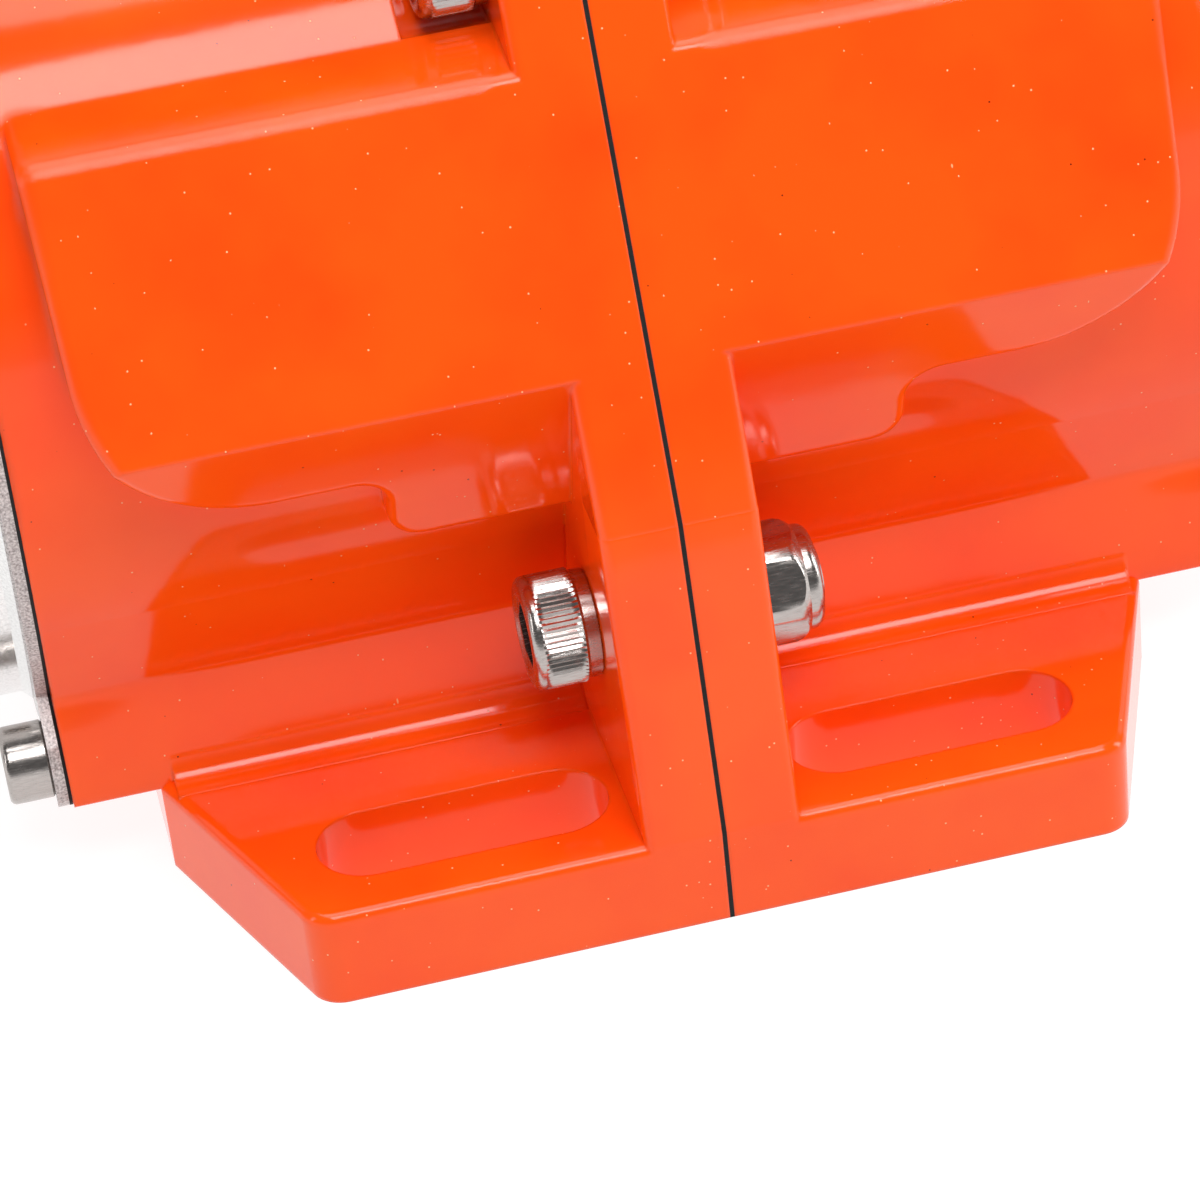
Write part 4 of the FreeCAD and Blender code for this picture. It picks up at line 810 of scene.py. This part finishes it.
class MOTOR_OT_lock_nuts(bpy.types.Operator):
    """Hexagon lock nuts with a chamfered face and a domed collar"""
    bl_idname = "motor.lock_nuts"
    bl_label = "Lock nuts"

    def execute(self, context):
        settings = context.scene.motor_fasteners
        boxes = solid_boxes("lock_nuts")
        low, high = boxes[0]
        centre = (low + high) / 2
        start = low.x
        hexagon_end = start + HEXAGON_LENGTH
        flat_r = settings.nut_flats / 2
        corner_r = flat_r / math.cos(math.pi / 6)
        nut = hexagon_bar("lock_nut", start, hexagon_end - start, settings.nut_flats, centre)
        chamfer = corner_r - flat_r + 0.35 * MM
        blank_r = flat_r * NUT_CORNER_SHARE
        # the turned blank that the nut's corners are cut back to
        limits = turned("limits", [
            (start - OVERSHOOT, 0), (start - OVERSHOOT, flat_r), (start, flat_r),
            (start + chamfer * 0.5, blank_r), (hexagon_end - 1.2 * MM, blank_r),
            (hexagon_end - 0.7 * MM, blank_r - 0.16 * MM), (hexagon_end - 0.3 * MM, flat_r),
            (hexagon_end + 0.02 * MM, flat_r - 0.3 * MM), (hexagon_end + OVERSHOOT, 0)], centre)
        combine(nut, limits, "INTERSECT")
        dome = quarter_round(high.x, high.x - NUT_DOME_ROUND,
                             NUT_COLLAR_RADIUS - NUT_DOME_ROUND, NUT_COLLAR_RADIUS)
        # the collar starts inside the hexagon, so the two join
        inside = start + 1 * MM
        collar = turned("collar", [(inside, 0), (inside, NUT_COLLAR_RADIUS)] +
                        list(reversed(dome)) + [(high.x, 0)], centre)
        combine(nut, collar, "UNION")
        hole = turned("hole", [
            (start - OVERSHOOT, 0), (start - OVERSHOOT, NUT_BORE),
            (high.x - INSERT_START, NUT_BORE), (high.x - INSERT_START, INSERT_RADIUS),
            (high.x - INSERT_END, INSERT_RADIUS), (high.x - INSERT_END, NUT_BORE + INSERT_LIP),
            (high.x + OVERSHOOT, NUT_BORE + INSERT_LIP), (high.x + OVERSHOOT, 0)], centre)
        combine(nut, hole, "DIFFERENCE")
        smooth(nut, 28)
        nuts = in_every_box(nut, boxes)
        piece = joined("lock_nuts_domed", nuts)
        dress(piece, "stainless_bolt")
        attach(piece, "casing")
        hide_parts("lock_nuts")
        return {"FINISHED"}


class MOTOR_OT_cover_screws(bpy.types.Operator):
    """Polished round heads over the covers' lobes"""
    bl_idname = "motor.cover_screws"
    bl_label = "Cover screws"

    def execute(self, context):
        for side, sign in (("left", -1), ("right", 1)):
            node = side + "_cover_screws"
            boxes = solid_boxes(node)
            low, high = boxes[0]
            centre = (low + high) / 2
            head_r = (high.z - low.z) / 2
            near, far = (low.x, high.x) if sign > 0 else (high.x, low.x)
            seat = far - sign * COVER_HEAD_LENGTH
            dimple = far - sign * COVER_DIMPLE_DEPTH
            profile = [(near, 0), (near, COVER_SHANK_RADIUS), (seat, COVER_SHANK_RADIUS),
                       (seat, head_r - COVER_SEAT_CHAMFER),
                       (seat + sign * COVER_SEAT_CHAMFER, head_r)]
            profile += list(reversed(quarter_round(far, far - sign * COVER_HEAD_ROUND,
                                                   head_r - COVER_HEAD_ROUND, head_r)))
            profile += [(far, COVER_DIMPLE_RADIUS), (dimple, COVER_DIMPLE_FLOOR), (dimple, 0)]
            screw = turned(side + "_cover_screw", profile, centre, 64)
            smooth(screw, 35)
            screws = in_every_box(screw, boxes)
            piece = joined(side + "_cover_screws_polished", screws)
            dress(piece, "stainless_bolt")
            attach(piece, "casing")
            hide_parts(node)
        return {"FINISHED"}


class MOTOR_OT_stage(bpy.types.Operator):
    """White table top, softboxes, a dim room and the camera"""
    bl_idname = "motor.stage"
    bl_label = "Stage"

    def execute(self, context):
        settings = context.scene.motor_stage
        lay_floor(settings)
        for name, setting, share, *hanging in SOFTBOXES:
            hang_light(name, share * getattr(settings, setting), *hanging)
        dim_room()
        set_camera(settings)
        context.scene.view_settings.view_transform = "Standard"
        return {"FINISHED"}


def lay_floor(settings):
    """A wide table top just under the feet."""
    deselect_all()
    lowest = CAD_BOX[0].z
    bpy.ops.mesh.primitive_plane_add(size=FLOOR_SIZE, location=(0, 0, lowest - FLOOR_GAP))
    floor = bpy.context.active_object
    floor.name = "floor"
    bpy.ops.object.transform_apply(location=True, rotation=True, scale=True)
    material, tree, skin, place = shader("pale_table_top", settings.floor_colour, 0.0, 0.6)
    # a lit table top, so the part hardly throws a shadow on it
    skin.inputs["Emission Color"].default_value = (1, 1, 1, 1)
    skin.inputs["Emission Strength"].default_value = FLOOR_GLOW
    fine = add(tree, "ShaderNodeTexNoise", links={"Vector": place}, Scale=1 / (2 * MM), Detail=2.0)
    raised = add(tree, "ShaderNodeBump", links={"Height": fine.outputs["Fac"]}, Strength=0.05,
                 Distance=0.1 * MM)
    tree.links.new(raised.outputs["Normal"], skin.inputs["Normal"])
    floor.data.materials.append(material)


def away(azimuth, elevation, distance):
    """A point at an azimuth from the front and a height angle, in degrees."""
    a, e = math.radians(azimuth), math.radians(elevation)
    return Vector((math.sin(a) * math.cos(e), -math.cos(a) * math.cos(e), math.sin(e))) * distance


def hang_light(name, radiance, azimuth, elevation, distance, size):
    """A softbox that faces the motor."""
    light = bpy.data.lights.new(name, "AREA")
    light.shape = "RECTANGLE"
    light.size, light.size_y = size
    light.energy = radiance * size[0] * size[1] * math.pi
    holder = bpy.data.objects.new(name, light)
    bpy.context.scene.collection.objects.link(holder)
    aim = Vector((0, 0, LIGHT_AIM_HEIGHT))
    holder.location = aim + away(azimuth, elevation, distance)
    holder.rotation_mode = "QUATERNION"
    holder.rotation_quaternion = (aim - holder.location).to_track_quat("-Z", "Y")


def dim_room():
    """A dim room that is paler near the horizon."""
    world = bpy.data.worlds.new("studio")
    bpy.context.scene.world = world
    world.use_nodes = True
    tree = world.node_tree
    tree.nodes.clear()
    coords = add(tree, "ShaderNodeTexCoord")
    parts = add(tree, "ShaderNodeSeparateXYZ", links={"Vector": coords.outputs["Generated"]})
    sky = ramp(tree, parts.outputs["Z"], ROOM_LEVELS)
    lit = add(tree, "ShaderNodeBackground", links={"Color": sky})
    out = add(tree, "ShaderNodeOutputWorld")
    tree.links.new(lit.outputs["Background"], out.inputs["Surface"])


def set_camera(settings):
    """Look at the front of the split line from above."""
    camera = bpy.data.cameras.new("camera")
    camera.sensor_width = SENSOR_WIDTH
    camera.lens = settings.lens
    camera.clip_start, camera.clip_end = 0.01, 20
    holder = bpy.data.objects.new("camera", camera)
    bpy.context.scene.collection.objects.link(holder)
    back = away(math.degrees(settings.azimuth), math.degrees(settings.elevation), 1)
    level = Vector((0, 0, 1)).cross(back).normalized()
    upright = back.cross(level)
    turn = settings.roll
    right = level * math.cos(turn) - upright * math.sin(turn)
    up = level * math.sin(turn) + upright * math.cos(turn)
    aim = Vector(SPLIT_FRONT) * MM - right * AIM_LEFT * MM - up * AIM_DOWN * MM
    place = Matrix((right, up, back)).transposed().to_4x4()
    place.translation = aim + back * settings.distance
    holder.matrix_world = place
    bpy.context.scene.camera = holder


# ---- panel and registration --------------------------------------------------------------------

OPERATORS = (MOTOR_OT_casing, MOTOR_OT_foot_webs, MOTOR_OT_flange_screws,
             MOTOR_OT_lock_nuts, MOTOR_OT_cover_screws, MOTOR_OT_stage)
SETTINGS = (("motor_paint", PaintSettings), ("motor_steel", SteelSettings),
            ("motor_fasteners", FastenerSettings), ("motor_webs", WebSettings),
            ("motor_stage", StageSettings))


class MOTOR_PT_pieces(bpy.types.Panel):
    """The motor's pieces"""
    bl_label = "Vibration motor"
    bl_idname = "MOTOR_PT_pieces"
    bl_space_type = "VIEW_3D"
    bl_region_type = "UI"
    bl_category = "Motor"

    def draw(self, context):
        for operator in OPERATORS:
            self.layout.operator(operator.bl_idname)
        for name, group in SETTINGS:
            box = self.layout.box()
            for field in group.__annotations__:
                box.prop(getattr(context.scene, name), field)


def register():
    for name, group in SETTINGS:
        bpy.utils.register_class(group)
        setattr(bpy.types.Scene, name, PointerProperty(type=group))
    for operator in OPERATORS:
        bpy.utils.register_class(operator)
    bpy.utils.register_class(MOTOR_PT_pieces)


def unregister():
    bpy.utils.unregister_class(MOTOR_PT_pieces)
    for operator in reversed(OPERATORS):
        bpy.utils.unregister_class(operator)
    for name, group in reversed(SETTINGS):
        delattr(bpy.types.Scene, name)
        bpy.utils.unregister_class(group)


def main():
    register()
    bpy.ops.motor.casing()
    bpy.ops.motor.foot_webs()
    bpy.ops.motor.flange_screws()
    bpy.ops.motor.lock_nuts()
    bpy.ops.motor.cover_screws()
    bpy.ops.motor.stage()


if __name__ == "__main__":
    main()
